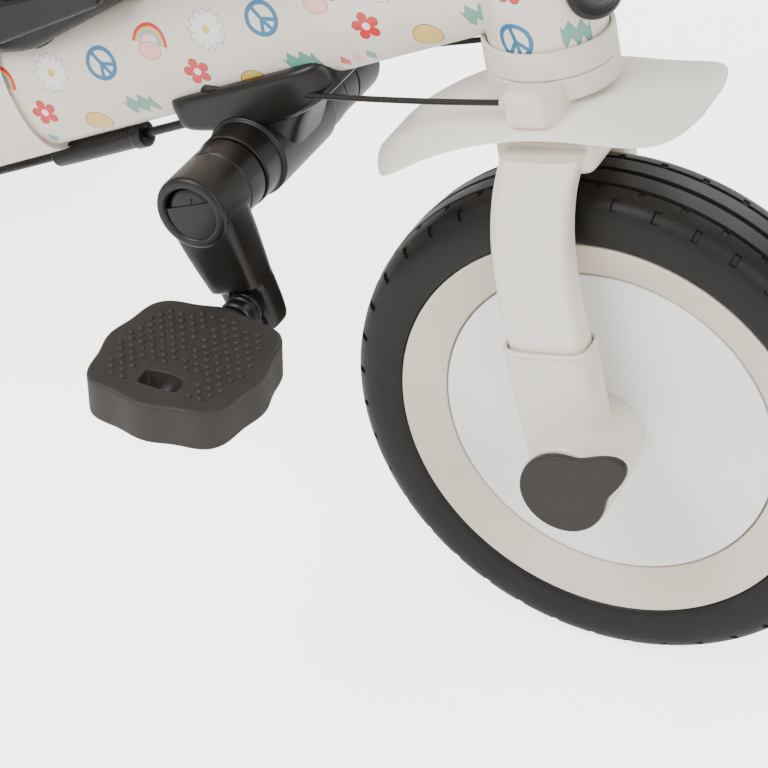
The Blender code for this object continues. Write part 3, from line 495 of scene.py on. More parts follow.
def tube(bm, points, radius, sides=16, looped=False, capped=True):
    """A round section carried along points. The radius may be one number or one for each point."""
    rows = []
    for i, place in enumerate(points):
        if looped:
            last, following = points[i - 1], points[(i + 1) % len(points)]
        else:
            last, following = points[max(i - 1, 0)], points[min(i + 1, len(points) - 1)]
        turn_to = (following - last).to_track_quat("Z", "Y").to_matrix().to_4x4()
        size = radius[i] if isinstance(radius, (list, tuple)) else radius
        rows.append(placed(Matrix.Translation(place) @ turn_to, oval(size, size, sides)))
    loft(bm, rows, capped, looped)


def box(bm, size, frame, edge, segments=3):
    made = bmesh.ops.create_cube(bm, size=1, matrix=Matrix.Diagonal((*size, 1)))["verts"]
    edges = list({e for v in made for e in v.link_edges})
    new = bmesh.ops.bevel(
        bm, geom=edges, offset=edge, segments=segments, affect="EDGES", profile=0.5, material=-1
    )
    verts = {v for v in made if v.is_valid} | {v for f in new["faces"] for v in f.verts}
    bmesh.ops.transform(bm, matrix=frame, verts=list(verts))


# %% Finishing a piece
def keep(bm, name, body, finish, nodes=(), sharp=38, levels=0, flat_light=True):
    """Closes and orients the mesh, and makes it a piece that rides on a body."""
    bmesh.ops.remove_doubles(bm, verts=bm.verts, dist=0.000005)
    bmesh.ops.recalc_face_normals(bm, faces=bm.faces)
    if bm.calc_volume(signed=True) < 0:
        bmesh.ops.reverse_faces(bm, faces=bm.faces)
    data = bpy.data.meshes.new(name)
    bm.to_mesh(data)
    bm.free()
    data.shade_smooth()
    data.materials.append(finish)
    piece = bpy.data.objects.new(name, data)
    bpy.context.scene.collection.objects.link(piece)
    if levels:
        finer = piece.modifiers.new("finer", "SUBSURF")
        finer.levels = finer.render_levels = levels
    else:
        data.set_sharp_from_angle(angle=math.radians(sharp))
        if flat_light:
            piece.modifiers.new("even_light", "WEIGHTED_NORMAL").keep_sharp = True
    if body:
        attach(piece, body)
    if nodes:
        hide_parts(*nodes)
    return piece


def turned(name, profile, frame, body, finish, nodes=(), steps=96, soft=0.0004):
    bm = bmesh.new()
    turn(bm, profile, frame, steps, soft)
    return keep(bm, name, body, finish, nodes)


print("helpers ready")

# %% [markdown]
# ## Tyres
# A foam tyre has a smooth wall, short slots round each shoulder, and ribs round the tread cut by
# cross grooves. The whole section is spun in small steps, so each slot and groove is simply the
# faces of one step pushed inwards. That keeps real geometry where a bump would only paint it.


# %% Tyre
def tyre_line(radius):
    half = 0.0245
    rows = (
        (0.0264, 0.0030),
        (0.0262, 0.0018),
        (0.0252, 0.0009),
        (0.0220, 0.0003),
        (0.0160, 0.0000),
        (0.0105, 0.0002),
        (0.0070, 0.0012),
        (0.0044, 0.0028),
        (0.0026, 0.0052),
        (0.0014, 0.0088),
        (0.0007, 0.0118),
        (0.0021, 0.0123),
        (0.0021, 0.0138),
        (0.0005, 0.0143),
        (0.0001, 0.0190),
        (0.0000, 0.0228),
        (0.0014, 0.0233),
    )
    side = [(radius - deep, half - inset) for deep, inset in rows]
    return side + [(r, -h) for r, h in reversed(side)]


def push_in(bm, faces, rim, depth):
    bmesh.ops.inset_region(bm, faces=faces, thickness=rim, depth=-depth, use_even_offset=True)


def tyre(name, x, y, z, radius, slots, body, node):
    bm = bmesh.new()
    steps = slots * 6
    turn(bm, tyre_line(radius), Matrix.Identity(4), steps)
    bmesh.ops.recalc_face_normals(bm, faces=bm.faces)
    shoulder, tread = [], []
    for face in bm.faces:
        middle = face.calc_center_median()
        step = int(round((math.degrees(math.atan2(middle.y, middle.x)) % 360) * steps / 360 - 0.5))
        deep, high = radius - math.hypot(middle.x, middle.y), abs(middle.z)
        if 0.0030 < deep < 0.0062 and high > 0.018 and step % 6 == 0:
            shoulder.append(face)
        if deep < 0.0016 and 0.0110 < high < 0.0165 and step % 6 == 3:
            tread.append(face)
    push_in(bm, shoulder, 0.0004, 0.0013)
    push_in(bm, tread, 0.0003, 0.0009)
    bmesh.ops.transform(bm, matrix=across(x, y, z, -1), verts=bm.verts)
    return keep(bm, name, body, tyre_rubber, (node,), sharp=50, flat_light=False)


front = tyre("front_tyre_foam", 0, 0, HUB_Z, HUB_Z, 40, "front_wheel", "front_tyre")
for side, word in SIDES:
    tyre(
        "rear_tyre_foam_" + word, REAR_X, side * REAR_Y, REAR_Z, REAR_Z, 32,
        "rear_wheel_" + word, "rear_" + word + "_tyre",
    )
print("front tyre faces", len(front.data.polygons))

# %% [markdown]
# ## Rims, discs and hub caps
# The rim is a beige ring that cones inwards to a plain white disc. A small cap covers each side of
# the hub and has a short slit for the tool that lifts it off. All are turned; the slit is a few of
# the cap's own faces pushed in.


# %% Rims and discs
def rim(name, x, y, z, bead, body, node):
    step = bead - 0.0192
    line = [(0.0064, 0.0120), (step, 0.0120), (step, 0.0154), (bead - 0.0010, 0.0235), (bead, 0.0234)]
    line += [(r, -h) for r, h in reversed(line)]
    turned(name, line, across(x, y, z, -1), body, rim_plastic, (node,), 128, 0.0007)


def disc(name, place, side, step, body, nodes=()):
    line = [(0.0064, 0.0172), (0.0230, 0.0172), (0.0300, 0.0166), (step - 0.0010, 0.0156)]
    line += [(step - 0.0010, 0.0124), (0.0064, 0.0124)]
    turned(name, line, across(*place, side), body, white_plastic, nodes, 128, 0.0005)


rim("front_rim_ring", 0, 0, HUB_Z, 0.1004, "front_wheel", "front_rim")
for side, word in SIDES:
    disc("front_disc_plate_" + word, (0, 0, HUB_Z), side, 0.0812, "front_wheel", ("front_disc_" + word,))
    rear = (REAR_X, side * REAR_Y, REAR_Z)
    rim("rear_rim_ring_" + word, *rear, 0.0734, "rear_wheel_" + word, "rear_" + word + "_rim")
    for face in (-1, 1):
        place = "outer" if face == side else "inner"
        disc("rear_disc_%s_%s" % (place, word), rear, face, 0.0542, "rear_wheel_" + word)
print("discs and rims ready")


# %% Hub caps
def hub_cap(side, word):
    bm = bmesh.new()
    line = [(0.0052, 0.0262), (0.0078, 0.0262), (0.0088, 0.0262), (0.0176, 0.0262), (0.0186, 0.0259)]
    line += [(0.0192, 0.0250), (0.0192, 0.0176), (0.0052, 0.0176)]
    turn(bm, line, Matrix.Identity(4), 96)
    bmesh.ops.recalc_face_normals(bm, faces=bm.faces)
    slit = []
    for face in bm.faces:
        middle = face.calc_center_median()
        angle = math.degrees(math.atan2(-side * middle.y, middle.x))
        reach = math.hypot(middle.x, middle.y)
        if middle.z > 0.026 and 0.0078 < reach < 0.0088 and -17 < angle < 16:
            slit.append(face)
    push_in(bm, slit, 0.0001, 0.0016)
    bmesh.ops.transform(bm, matrix=across(0, 0, HUB_Z, side), verts=bm.verts)
    keep(bm, "hub_cap_shell_" + word, "front_wheel", cream_plastic, ("hub_cap_" + word,))


for side, word in SIDES:
    hub_cap(side, word)
    line = [(0, 0.0287), (0.0090, 0.0284), (0.0150, 0.0272), (0.0192, 0.0238), (0.0208, 0.0190)]
    line += [(0.0210, 0.0174), (0.0080, 0.0174), (0.0080, 0.0190), (0, 0.0190)]
    turned(
        "rear_hub_cap_" + word, line, across(REAR_X, side * REAR_Y, REAR_Z, side), "rear_wheel_" + word,
        cream_plastic, ("rear_cap_" + word,),
    )
print("caps ready")

# %% [markdown]
# ## Fork
# Two flat-sided legs come down from under the mudguard, bow back a little, and drop into moulded
# ends. Each end is a sleeve with a rolled lip, over a round boss for the axle. The legs and sleeves
# are lofts of squared ovals that stay square to the steering axis, so both lean with it.

# %% Fork legs
LEG_ROWS = (
    (-0.0298, 0.2755, 0.0183, 0.0088, 0.0040),
    (-0.0326, 0.2550, 0.0180, 0.0092, 0.0030),
    (-0.0318, 0.2320, 0.0180, 0.0096, 0.0015),
    (-0.0268, 0.2050, 0.0180, 0.0098, 0.0004),
    (-0.0210, 0.1840, 0.0180, 0.0098, 0.0),
    (-0.0180, 0.1720, 0.0178, 0.0095, 0.0),
)
LEG_OUT = 0.0395
SLOPE = math.tan(math.radians(11.4))


def leg_hoop(x, z, half_x, half_y, middle, power):
    return [at(x + u, middle + v, z + u * SLOPE) for u, v in oval(half_x, half_y, 56, power)]


bm = bmesh.new()
for side, word in SIDES:
    rows = between(LEG_ROWS, 6)
    loft(bm, [leg_hoop(x, z, a, b, side * (LEG_OUT - tuck), 3.6) for x, z, a, b, tuck in rows])
crown = move(-0.0320, 0, 0.2700) @ Matrix.Rotation(math.radians(-11.4), 4, "Y")
box(bm, (0.046, 2 * LEG_OUT - 0.018, 0.018), crown, 0.006)
turn(bm, [(0.0132, 0.161), (0.0190, 0.161), (0.0190, 0.143), (0.0132, 0.143)], STEER, 64, 0.0008)
legs = keep(bm, "fork_legs", "fork", ivory_paint, ("fork",), sharp=50)
print("fork legs faces", len(legs.data.polygons))


# %% Fork ends
def fork_end(side, word):
    bm = bmesh.new()
    middle = side * (LEG_OUT + 0.0005)
    sleeve = ((-0.0078, 0.1290, 0.0192, 0.0116), (-0.0108, 0.1420, 0.0198, 0.0116))
    sleeve += ((-0.0145, 0.1570, 0.0199, 0.0117), (-0.0182, 0.1725, 0.0199, 0.0117))
    lip = ((-0.0204, 0.1812, 0.0199, 0.0117), (-0.0205, 0.1816, 0.0204, 0.0122))
    lip += ((-0.0207, 0.1826, 0.0207, 0.0125), (-0.0208, 0.1836, 0.0204, 0.0122))
    lip += ((-0.0208, 0.1841, 0.0197, 0.0115), (-0.0208, 0.1837, 0.0189, 0.0107))
    lip += ((-0.0204, 0.1810, 0.0186, 0.0104), (-0.0190, 0.1760, 0.0184, 0.0102))
    loft(bm, [leg_hoop(*row, middle, 3.6) for row in sleeve + lip])
    frame = across(0, side * 0.0270, HUB_Z, side)
    boss = [(0.0054, 0.0403), (0.0207, 0.0403), (0.0214, 0.0396), (0.0215, 0.0270), (0.0215, 0.0020)]
    boss += [(0.0205, 0.0), (0.0054, 0.0)]
    turn(bm, boss, frame, 96, 0.0006)
    keep(
        bm, "fork_end_moulding_" + word, "fork", cream_plastic,
        ("fork_end_" + word,), sharp=42,
    )


for side, word in SIDES:
    fork_end(side, word)
print("fork ends ready")

# %% [markdown]
# ## Hub knobs
# A dark knob on each end of the axle locks the hub. Its outline is round with one finger lobe that
# points forwards and up. The edge is a small round, so the outline is lofted through several
# sections, each a little smaller as it nears the face.


# %% Hub knobs
def knob_outline(side, inset, count=96):
    points = []
    for i in range(count):
        angle = 2 * math.pi * i / count
        apart = (math.degrees(angle) + 42 * side + 180) % 360 - 180
        radius = 0.0203 + 0.0173 * math.exp(-((apart / 20) ** 2)) - inset
        points.append((radius * math.cos(angle), radius * math.sin(angle)))
    return points


for side, word in SIDES:
    bm = bmesh.new()
    knob_at = across(0, side * 0.0679, HUB_Z, side)
    rows = ((0.0007, 0.0), (0.0002, 0.0004), (0.0, 0.0009), (0.0, 0.0030), (0.0002, 0.0036))
    rows += ((0.0006, 0.0040), (0.0012, 0.0042))
    loft(bm, [placed(knob_at, knob_outline(side, inset), height) for inset, height in rows])
    keep(
        bm, "lock_knob_" + word, "hub_knob_" + word, knob_plastic,
        ("hub_knob_" + word,), sharp=60,
    )
print("knobs ready")

# %% [markdown]
# ## Mudguard
# The mudguard is one thin moulded sheet between the fork and the collar. It has a nearly flat
# crown, sides that bend down, a lobe that droops behind, and an upturned tip in front. It is lofted
# from front to back through cross-sections that are wide in the middle and narrow at both ends.


# %% Mudguard
def guard_hoop(angle, radius, half_width, drop, count=21):
    lean = math.radians(angle)
    outward = Vector((math.sin(lean), 0, math.cos(lean)))
    hub = at(0, 0, HUB_Z)
    upper, lower = [], []
    for i in range(count):
        u = math.sin(math.pi * (i / (count - 1) - 0.5))
        sink = drop * max(0.0, (abs(u) - 0.45) / 0.55) ** 1.5
        shift = Vector((0, u * half_width, 0))
        edge = 0.0013 * abs(u) ** 12
        upper.append(hub + outward * (radius - sink - edge) + shift)
        lower.append(hub + outward * (radius - sink - 0.0026 + edge) + shift * 0.985)
    return upper + lower[::-1]


GUARD_ROWS = (
    (-45.6, 0.1652, 0.0095, 0.0010),
    (-45.2, 0.1656, 0.0165, 0.0024),
    (-44.2, 0.1664, 0.0260, 0.0050),
    (-41.5, 0.1673, 0.0360, 0.0082),
    (-36.0, 0.1683, 0.0415, 0.0092),
    (-26.0, 0.1690, 0.0425, 0.0085),
    (-12.0, 0.1690, 0.0405, 0.0078),
    (-2.0, 0.1694, 0.0405, 0.0068),
    (4.0, 0.1710, 0.0410, 0.0048),
    (7.5, 0.1732, 0.0385, 0.0030),
    (9.6, 0.1750, 0.0290, 0.0018),
    (10.5, 0.1757, 0.0130, 0.0010),
)
bm = bmesh.new()
loft(bm, [guard_hoop(*row) for row in between(GUARD_ROWS, 4)])
guard = keep(bm, "mudguard", "fork", mudguard_plastic, ("front_fender",), sharp=60)
print("mudguard faces", len(guard.data.polygons))

# %% [markdown]
# ## Collars and head tube
# The lower collar turns with the fork and takes the two steering cables in lugs on its sides. The
# upper collar is fixed and leaves a thin dark gap round the printed head tube. The lugs are lofts
# that start as a rounded block and sink into the ring in front, as the moulding does.

# %% Collars
bm = bmesh.new()
turn(bm, [(0.0131, 0.1797), (0.0290, 0.1797), (0.0290, 0.1695), (0.0131, 0.1695)], STEER, 128, 0.0009)
LUG_ROWS = (
    (-0.0076, 0.0318, 0.0058, 0.0070),
    (-0.0068, 0.0318, 0.0070, 0.0082),
    (-0.0050, 0.0318, 0.0076, 0.0086),
    (0.0080, 0.0316, 0.0076, 0.0086),
    (0.0112, 0.0300, 0.0070, 0.0084),
    (0.0136, 0.0272, 0.0060, 0.0080),
    (0.0156, 0.0236, 0.0050, 0.0072),
)
for side, word in SIDES:
    rows = []
    for forward, out, half_y, half_h in between(LUG_ROWS, 3):
        outline = oval(half_y, half_h, 40, 5.0)
        rows.append([STEER @ Vector((forward, side * (out + v), 0.1712 + h)) for v, h in outline])
    loft(bm, rows)
    grommet = STEER @ Matrix.Translation((-0.0070, side * 0.0360, 0.1740))
    turn(
        bm, [(0.0018, 0.0), (0.0034, 0.0), (0.0030, 0.0022), (0.0018, 0.0022)],
        grommet @ Matrix.Rotation(math.radians(-90), 4, "Y"), 32, 0.0003,
    )
keep(bm, "turning_collar", "fork", cream_plastic, ("lower_collar",), sharp=45)
line = [(0.0268, 0.1925), (0.0290, 0.1925), (0.0290, 0.1800), (0.0175, 0.1800), (0.0175, 0.1860)]
line += [(0.0268, 0.1860)]
turned("fixed_collar", line, STEER, "frame", cream_plastic, ("upper_collar",), 128, 0.0009)
print("collars ready")

# %% [markdown]
# ## The printed paint
# The frame tube and head tube carry a repeated print of small cheerful motifs on ivory. Real print
# film repeats, so the shader folds the surface's own millimetre map into one tile and stamps each
# motif there. Every motif is a node group that measures from its own centre, so it can be placed
# and turned anywhere. All motifs are plain generic shapes: no words and no faces.


# %% Motif groups
def new_motif(name):
    """A group that turns the tile's millimetres into distances from the motif's centre."""
    sockets = (("Place", "Vector", None), ("Centre", "Vector", (0, 0, 0)), ("Turn", "Float", 0.0))
    group, given, out = new_group(name, sockets, (("Colour", "Color"), ("Mask", "Float")))
    moved = wire(group, "VectorMath", {0: given.outputs[0], 1: given.outputs[1]}, operation="SUBTRACT")
    turned_to = wire(
        group, "VectorRotate", {"Vector": moved.outputs[0], "Angle": given.outputs[2]}, rotation_type="Z_AXIS"
    ).outputs[0]
    parts = wire(group, "SeparateXYZ", {0: turned_to}).outputs
    reach = wire(group, "VectorMath", {0: turned_to}, operation="LENGTH").outputs["Value"]
    angle = number(group, "ARCTAN2", parts[1], parts[0])
    return group, out, parts[0], parts[1], reach, angle


def inside(tree, value, limit, soft=0.14):
    """1 where the value is under the limit, with a soft edge in millimetres."""
    left = number(tree, "SUBTRACT", limit, value)
    node = wire(tree, "Math", {0: left, 1: 1 / soft, 2: 0.5}, operation="MULTIPLY_ADD")
    node.use_clamp = True
    return node.outputs[0]


def close_motif(group, out, colour, mask):
    for socket, source in (("Colour", colour), ("Mask", mask)):
        if isinstance(source, bpy.types.NodeSocket):
            group.links.new(source, out.inputs[socket])
        else:
            out.inputs[socket].default_value = source
    return group


INK = (0.045, 0.035, 0.030, 1)
TEAL = (0.020, 0.150, 0.290, 1)
RED = (0.62, 0.030, 0.028, 1)
SAGE = (0.130, 0.360, 0.260, 1)
YELLOW = (0.74, 0.50, 0.11, 1)
PINK = (0.82, 0.40, 0.38, 1)
PAPER = (0.83, 0.80, 0.74, 1)
print("inks", len((INK, TEAL, RED, SAGE, YELLOW, PINK, PAPER)))


# %% Peace sign and zigzag
def build_peace():
    group, out, x, y, reach, _ = new_motif("peace sign")
    wide = number(group, "ABSOLUTE", x)
    ring = inside(group, number(group, "ABSOLUTE", number(group, "SUBTRACT", reach, 7.55)), 1.15)
    post = inside(group, wide, 1.0)
    lean = number(group, "MULTIPLY", number(group, "SUBTRACT", wide, y), 0.707)
    near_leg = inside(group, number(group, "ABSOLUTE", lean), 1.0)
    legs = number(group, "MULTIPLY", near_leg, inside(group, -0.4, y))
    inner = number(group, "MULTIPLY", number(group, "MAXIMUM", post, legs), inside(group, reach, 7.9))
    return close_motif(group, out, TEAL, number(group, "MAXIMUM", ring, inner))


def build_zigzag():
    group, out, x, y, _, _ = new_motif("zigzag")
    wave = number(group, "PINGPONG", number(group, "ADD", x, 9.3), 3.0)
    line = number(group, "MULTIPLY_ADD", wave, 1.55, number(group, "MULTIPLY_ADD", x, 0.28, -2.3))
    off = number(group, "ABSOLUTE", number(group, "SUBTRACT", y, line))
    wide = number(group, "ABSOLUTE", x)
    body = number(group, "MULTIPLY", inside(group, off, 4.2, 0.3), inside(group, wide, 7.6))
    core = number(group, "MULTIPLY", inside(group, off, 3.75, 0.3), inside(group, wide, 7.3))
    return close_motif(group, out, blend_colours(group, core, (0.08, 0.15, 0.14, 1), SAGE), body)


peace, zigzag = build_peace(), build_zigzag()
print(peace.name, "and", zigzag.name)


# %% Flower, daisy, rainbow, disc and marks
def petals(group, angle, count, base, swing, power):
    wave = number(group, "ABSOLUTE", number(group, "COSINE", number(group, "MULTIPLY", angle, count / 2)))
    return number(group, "MULTIPLY_ADD", number(group, "POWER", wave, power), swing, base)


def build_flower():
    group, out, _, _, reach, angle = new_motif("five petals")
    edge = petals(group, angle, 5, 3.0, 4.0, 0.55)
    fill = inside(group, reach, edge)
    core = inside(group, reach, 1.9)
    line = number(group, "SUBTRACT", 1.0, inside(group, number(group, "ADD", reach, 0.35), edge))
    inked = blend_colours(group, line, RED, (0.07, 0.012, 0.012, 1))
    return close_motif(group, out, blend_colours(group, core, inked, PAPER), fill)


def build_daisy():
    group, out, _, _, reach, angle = new_motif("daisy")
    edge = petals(group, angle, 13, 4.2, 5.6, 0.42)
    outline = inside(group, number(group, "ABSOLUTE", number(group, "SUBTRACT", reach, edge)), 0.26)
    core = inside(group, reach, 2.0)
    shown = number(group, "MAXIMUM", outline, inside(group, reach, edge))
    petal = blend_colours(group, outline, (0.86, 0.84, 0.80, 1), (0.20, 0.19, 0.18, 1))
    return close_motif(group, out, blend_colours(group, core, petal, YELLOW), shown)


def build_rainbow():
    group, out, x, y, reach, _ = new_motif("rainbow")
    upper = inside(group, y, 0.6)
    arch = number(group, "MULTIPLY", inside(group, reach, 9.6), upper)
    mask = number(group, "MULTIPLY", arch, inside(group, 3.6, reach))
    colour = blend_colours(group, inside(group, reach, 7.8), RED, YELLOW)
    colour = blend_colours(group, inside(group, reach, 6.2), colour, (0.17, 0.45, 0.55, 1))
    colour = blend_colours(group, inside(group, reach, 4.9), colour, PINK)
    puff_y = number(group, "SUBTRACT", y, 3.6)
    puff = wire(group, "CombineXYZ", {0: number(group, "MULTIPLY", x, 0.7), 1: puff_y})
    size = wire(group, "VectorMath", {0: puff.outputs[0]}, operation="LENGTH").outputs["Value"]
    cloud = inside(group, size, 4.4)
    rim_ink = number(group, "SUBTRACT", 1.0, inside(group, size, 4.05))
    pink = blend_colours(group, rim_ink, (0.86, 0.47, 0.45, 1), (0.55, 0.16, 0.16, 1))
    inked = blend_colours(group, cloud, colour, pink)
    return close_motif(group, out, inked, number(group, "MAXIMUM", mask, cloud))


def build_disc():
    group, out, _, _, reach, _ = new_motif("yellow disc")
    line = number(group, "SUBTRACT", 1.0, inside(group, reach, 6.6))
    return close_motif(group, out, blend_colours(group, line, YELLOW, INK), inside(group, reach, 7.0))


def build_marks():
    group, out, x, y, _, _ = new_motif("three marks")
    swing = number(group, "PINGPONG", number(group, "ADD", x, 10.5), 3.5)
    near = number(group, "ABSOLUTE", number(group, "SUBTRACT", swing, 3.5))
    size = number(group, "ADD", near, number(group, "ABSOLUTE", number(group, "MULTIPLY", y, 0.62)))
    along = inside(group, number(group, "ABSOLUTE", x), 10.4)
    mask = number(group, "MULTIPLY", inside(group, size, 2.7), along)
    colour = blend_colours(group, inside(group, x, -3.5), PINK, RED)
    return close_motif(group, out, blend_colours(group, inside(group, 3.5, x), colour, SAGE), mask)


flower, daisy, rainbow = build_flower(), build_daisy(), build_rainbow()
yellow_disc, marks = build_disc(), build_marks()
print("motifs", [motif.name for motif in (flower, daisy, rainbow, yellow_disc, marks)])


# %% Printed paint
def build_print(name, tile, shift, motifs):
    material, tree, shader = new_finish(name, coat=0.35)
    map_mm = wire(tree, "UVMap", uv_map="print").outputs[0]
    apart = wire(tree, "SeparateXYZ", {0: map_mm}).outputs
    folded = []
    for i in (0, 1):
        moved = number(tree, "SUBTRACT", apart[i], shift[i])
        folded.append(number(tree, "FLOORED_MODULO", moved, tile[i]))
    place = wire(tree, "CombineXYZ", {0: folded[0], 1: folded[1]}).outputs[0]
    skin = wire(tree, "Group", {}, node_tree=surface_group)
    skin.inputs["Colour"].default_value = (0.76, 0.69, 0.60, 1)
    skin.inputs["Roughness"].default_value = 0.30
    skin.inputs["Grain"].default_value = 420
    skin.inputs["Tone"].default_value = 0.04
    skin.inputs["Rub"].default_value = 0.06
    tree.links.new(wire(tree, "TexCoord").outputs["Object"], skin.inputs["Place"])
    colour = skin.outputs["Colour"]
    for group, centre, turn_by in motifs:
        stamp = wire(tree, "Group", {}, node_tree=group)
        tree.links.new(place, stamp.inputs["Place"])
        stamp.inputs["Centre"].default_value = (*centre, 0)
        stamp.inputs["Turn"].default_value = math.radians(turn_by)
        colour = blend_colours(tree, stamp.outputs["Mask"], colour, stamp.outputs["Colour"])
    bump = wire(tree, "Bump", {"Height": skin.outputs["Height"], "Distance": 0.00003, "Strength": 0.4})
    tree.links.new(colour, shader.inputs["Base Color"])
    tree.links.new(skin.outputs["Roughness"], shader.inputs["Roughness"])
    tree.links.new(bump.outputs["Normal"], shader.inputs["Normal"])
    return material


tube_print = build_print(
    "tube_print",
    (95.0, 200.0),
    (31.0, 0.0),
    (
        (peace, (11.3, 38.0), 28),
        (zigzag, (20.0, 63.0), 10),
        (rainbow, (42.5, 35.0), -24),
        (marks, (46.0, 70.0), 0),
        (flower, (60.5, 54.0), 18),
        (daisy, (75.6, 36.0), 0),
        (yellow_disc, (85.5, 67.0), 0),
    ),
)
head_print = build_print(
    "head_print",
    (91.0, 52.0),
    (0.0, 0.0),
    (
        (peace, (42.4, 10.4), 12),
        (zigzag, (71.8, 10.3), 6),
        (flower, (44.0, 38.0), 10),
        (daisy, (72.0, 38.0), 0),
        (yellow_disc, (17.0, 38.0), 0),
    ),
)
print("printed paints", tube_print.name, head_print.name)

# %% [markdown]
# ## Main tube and head tube
# The main tube is a tall squarish oval that slopes up to the head and meets it in a fish mouth. Its
# last hoop is moved along the tube until each point touches the head tube. While it is still plain
# geometry it gets a map in millimetres: one way along the tube, the other way down from its top, so
# the print follows the surface without a seam.

# %% Main tube
TUBE_TALL, TUBE_WIDE, HEAD_R = 0.0320, 0.0230, 0.0290


def down_from_top(points):
    """How far each outline point is from the top, round the surface, in millimetres."""
    top = min(range(len(points)), key=lambda i: points[i][0])
    total, count = [0.0] * len(points), len(points)
    for way in (1, -1):
        walked = 0.0
        for k in range(1, count // 2 + 1):
            a, b = points[(top + way * (k - 1)) % count], points[(top + way * k) % count]
            walked += 1000 * math.dist(a, b)
            total[(top + way * k) % count] = walked
    return total


def reach_head(x, y):
    """Where a line along the tube meets the head tube."""
    start = STEER.inverted() @ ALONG_TUBE @ Vector((x, y, 0))
    way = (STEER.inverted() @ ALONG_TUBE).to_3x3() @ Vector((0, 0, 1))
    a = way.x**2 + way.y**2
    b = 2 * (start.x * way.x + start.y * way.y)
    c = start.x**2 + start.y**2 - (HEAD_R - 0.0030) ** 2
    return (-b - math.sqrt(b * b - 4 * a * c)) / (2 * a)


outline = oval(TUBE_TALL, TUBE_WIDE, 120, 2.35)
mouth = [reach_head(x, y) for x, y in outline]
bm = bmesh.new()
steps = [-0.215 + 0.012 * i for i in range(26)]
rows = [placed(ALONG_TUBE, outline, along) for along in steps]
for share in (0.33, 0.66, 1.0):
    lengths = [steps[-1] + (end - steps[-1]) * share for end in mouth]
    rows.append([ALONG_TUBE @ Vector((x, y, along)) for (x, y), along in zip(outline, lengths)])
loft(bm, rows)
drops = down_from_top(outline)
layer = bm.loops.layers.uv.new("print")
back = ALONG_TUBE.inverted()
for face in bm.faces:
    for corner in face.loops:
        place = back @ corner.vert.co
        nearest = min(range(len(outline)), key=lambda i: math.dist(outline[i], place.xy))
        corner[layer].uv = (place.z * 1000, drops[nearest])
keep(bm, "printed_main_tube", "frame", tube_print, ("main_tube",), sharp=50)
print("round the tube", round(2 * max(drops), 1), "mm")

# %% Head tube and badge
bm = bmesh.new()
line = [(0.0225, 0.3000), (HEAD_R, 0.3000), (HEAD_R, 0.2180), (0.0286, 0.2110), (0.0276, 0.2040)]
line += [(0.0265, 0.1960), (0.0262, 0.1900), (0.0262, 0.1864), (0.0225, 0.1864)]
turn(bm, line, Matrix.Identity(4), 128, 0.0030)
layer = bm.loops.layers.uv.new("print")
for face in bm.faces:
    middle = face.calc_center_median()
    centre = math.atan2(middle.y, middle.x)
    for corner in face.loops:
        angle = math.atan2(corner.vert.co.y, corner.vert.co.x)
        angle += 2 * math.pi * round((centre - angle) / (2 * math.pi))
        corner[layer].uv = (angle / (2 * math.pi) * 182.0, -1000 * corner.vert.co.z)
bmesh.ops.transform(bm, matrix=STEER, verts=bm.verts)
keep(bm, "printed_head_tube", "frame", head_print, ("head_tube",), sharp=50)

bm = bmesh.new()
rows = []
BADGE = ((0.0, -0.0012), (0.0003, 0.0020), (0.0, 0.0034), (-0.0010, 0.0042), (-0.0024, 0.0042))
for grow, reach in BADGE + ((-0.0032, 0.0034), (-0.0040, 0.0028), (-0.0070, 0.0030)):
    hoop_points = []
    for u, h in oval(0.0225 + grow, 0.0180 + grow, 96, 2.6):
        angle = u / HEAD_R - 0.03
        out = HEAD_R + reach
        hoop_points.append(STEER @ Vector((out * math.cos(angle), out * math.sin(angle), 0.2190 + h)))
    rows.append(hoop_points)
loft(bm, rows, capped=False)
bmesh.ops.holes_fill(bm, edges=[edge for edge in bm.edges if edge.is_boundary])
keep(bm, "round_badge", "frame", black_plastic, ("head_badge",), sharp=60)
print("head ready")

# %% [markdown]
# ## Crank housing and cables
# Under the tube hangs a dark moulding: a long saddle, a web, and a cross tube for the cranks. The
# steering cables leave it through two grommets for the collar's lugs, and a sleeve and sheath carry
# them back to the push handle. The saddle and web are lofts, and the cross tube is turned.

# %% Crank housing
SADDLE_ROWS = (
    (-0.0310, 0.0140, 0.0010),
    (-0.0290, 0.0190, 0.0026),
    (-0.0220, 0.0228, 0.0050),
    (0.0000, 0.0246, 0.0085),
    (0.0300, 0.0250, 0.0100),
    (0.0480, 0.0240, 0.0070),
    (0.0590, 0.0190, 0.0030),
    (0.0610, 0.0140, 0.0014),
)
bm = bmesh.new()
rows = []
for along, half, drop in between(SADDLE_ROWS, 3):
    rise = 0.0040 + 0.0085 * min(1.0, max(0.0, (half - 0.0140) / 0.0060))
    low = TUBE_TALL + drop
    line = [(TUBE_TALL - rise, -half), (low, -half), (low, half), (TUBE_TALL - rise, half)]
    rows.append(placed(ALONG_TUBE, rounded(line, 0.0045, True, 5), along))
loft(bm, rows)
WEB_ROWS = (
    (0.2240, -0.1775, 0.0165, 0.0232),
    (0.2330, -0.1785, 0.0200, 0.0232),
    (0.2450, -0.1800, 0.0245, 0.0230),
    (0.2540, -0.1820, 0.0300, 0.0222),
    (0.2600, -0.1835, 0.0350, 0.0215),
)
loft(
    bm,
    [[at(x + u, v, z) for u, v in oval(a, b, 48, 3.5)] for z, x, a, b in between(WEB_ROWS, 3)],
)
line = [(0.0142, 0.0405), (0.0183, 0.0405), (0.0185, 0.0395), (0.0185, 0.0262), (0.0202, 0.0256)]
line += [(0.0202, 0.0150)]
line += [(r, -h) for r, h in reversed(line)]
turn(bm, line, across(-0.178, 0, 0.230, 1), 96, 0.0007)
housing = keep(
    bm, "crank_housing_moulding", "frame", black_plastic, ("crank_housing",), sharp=45
)
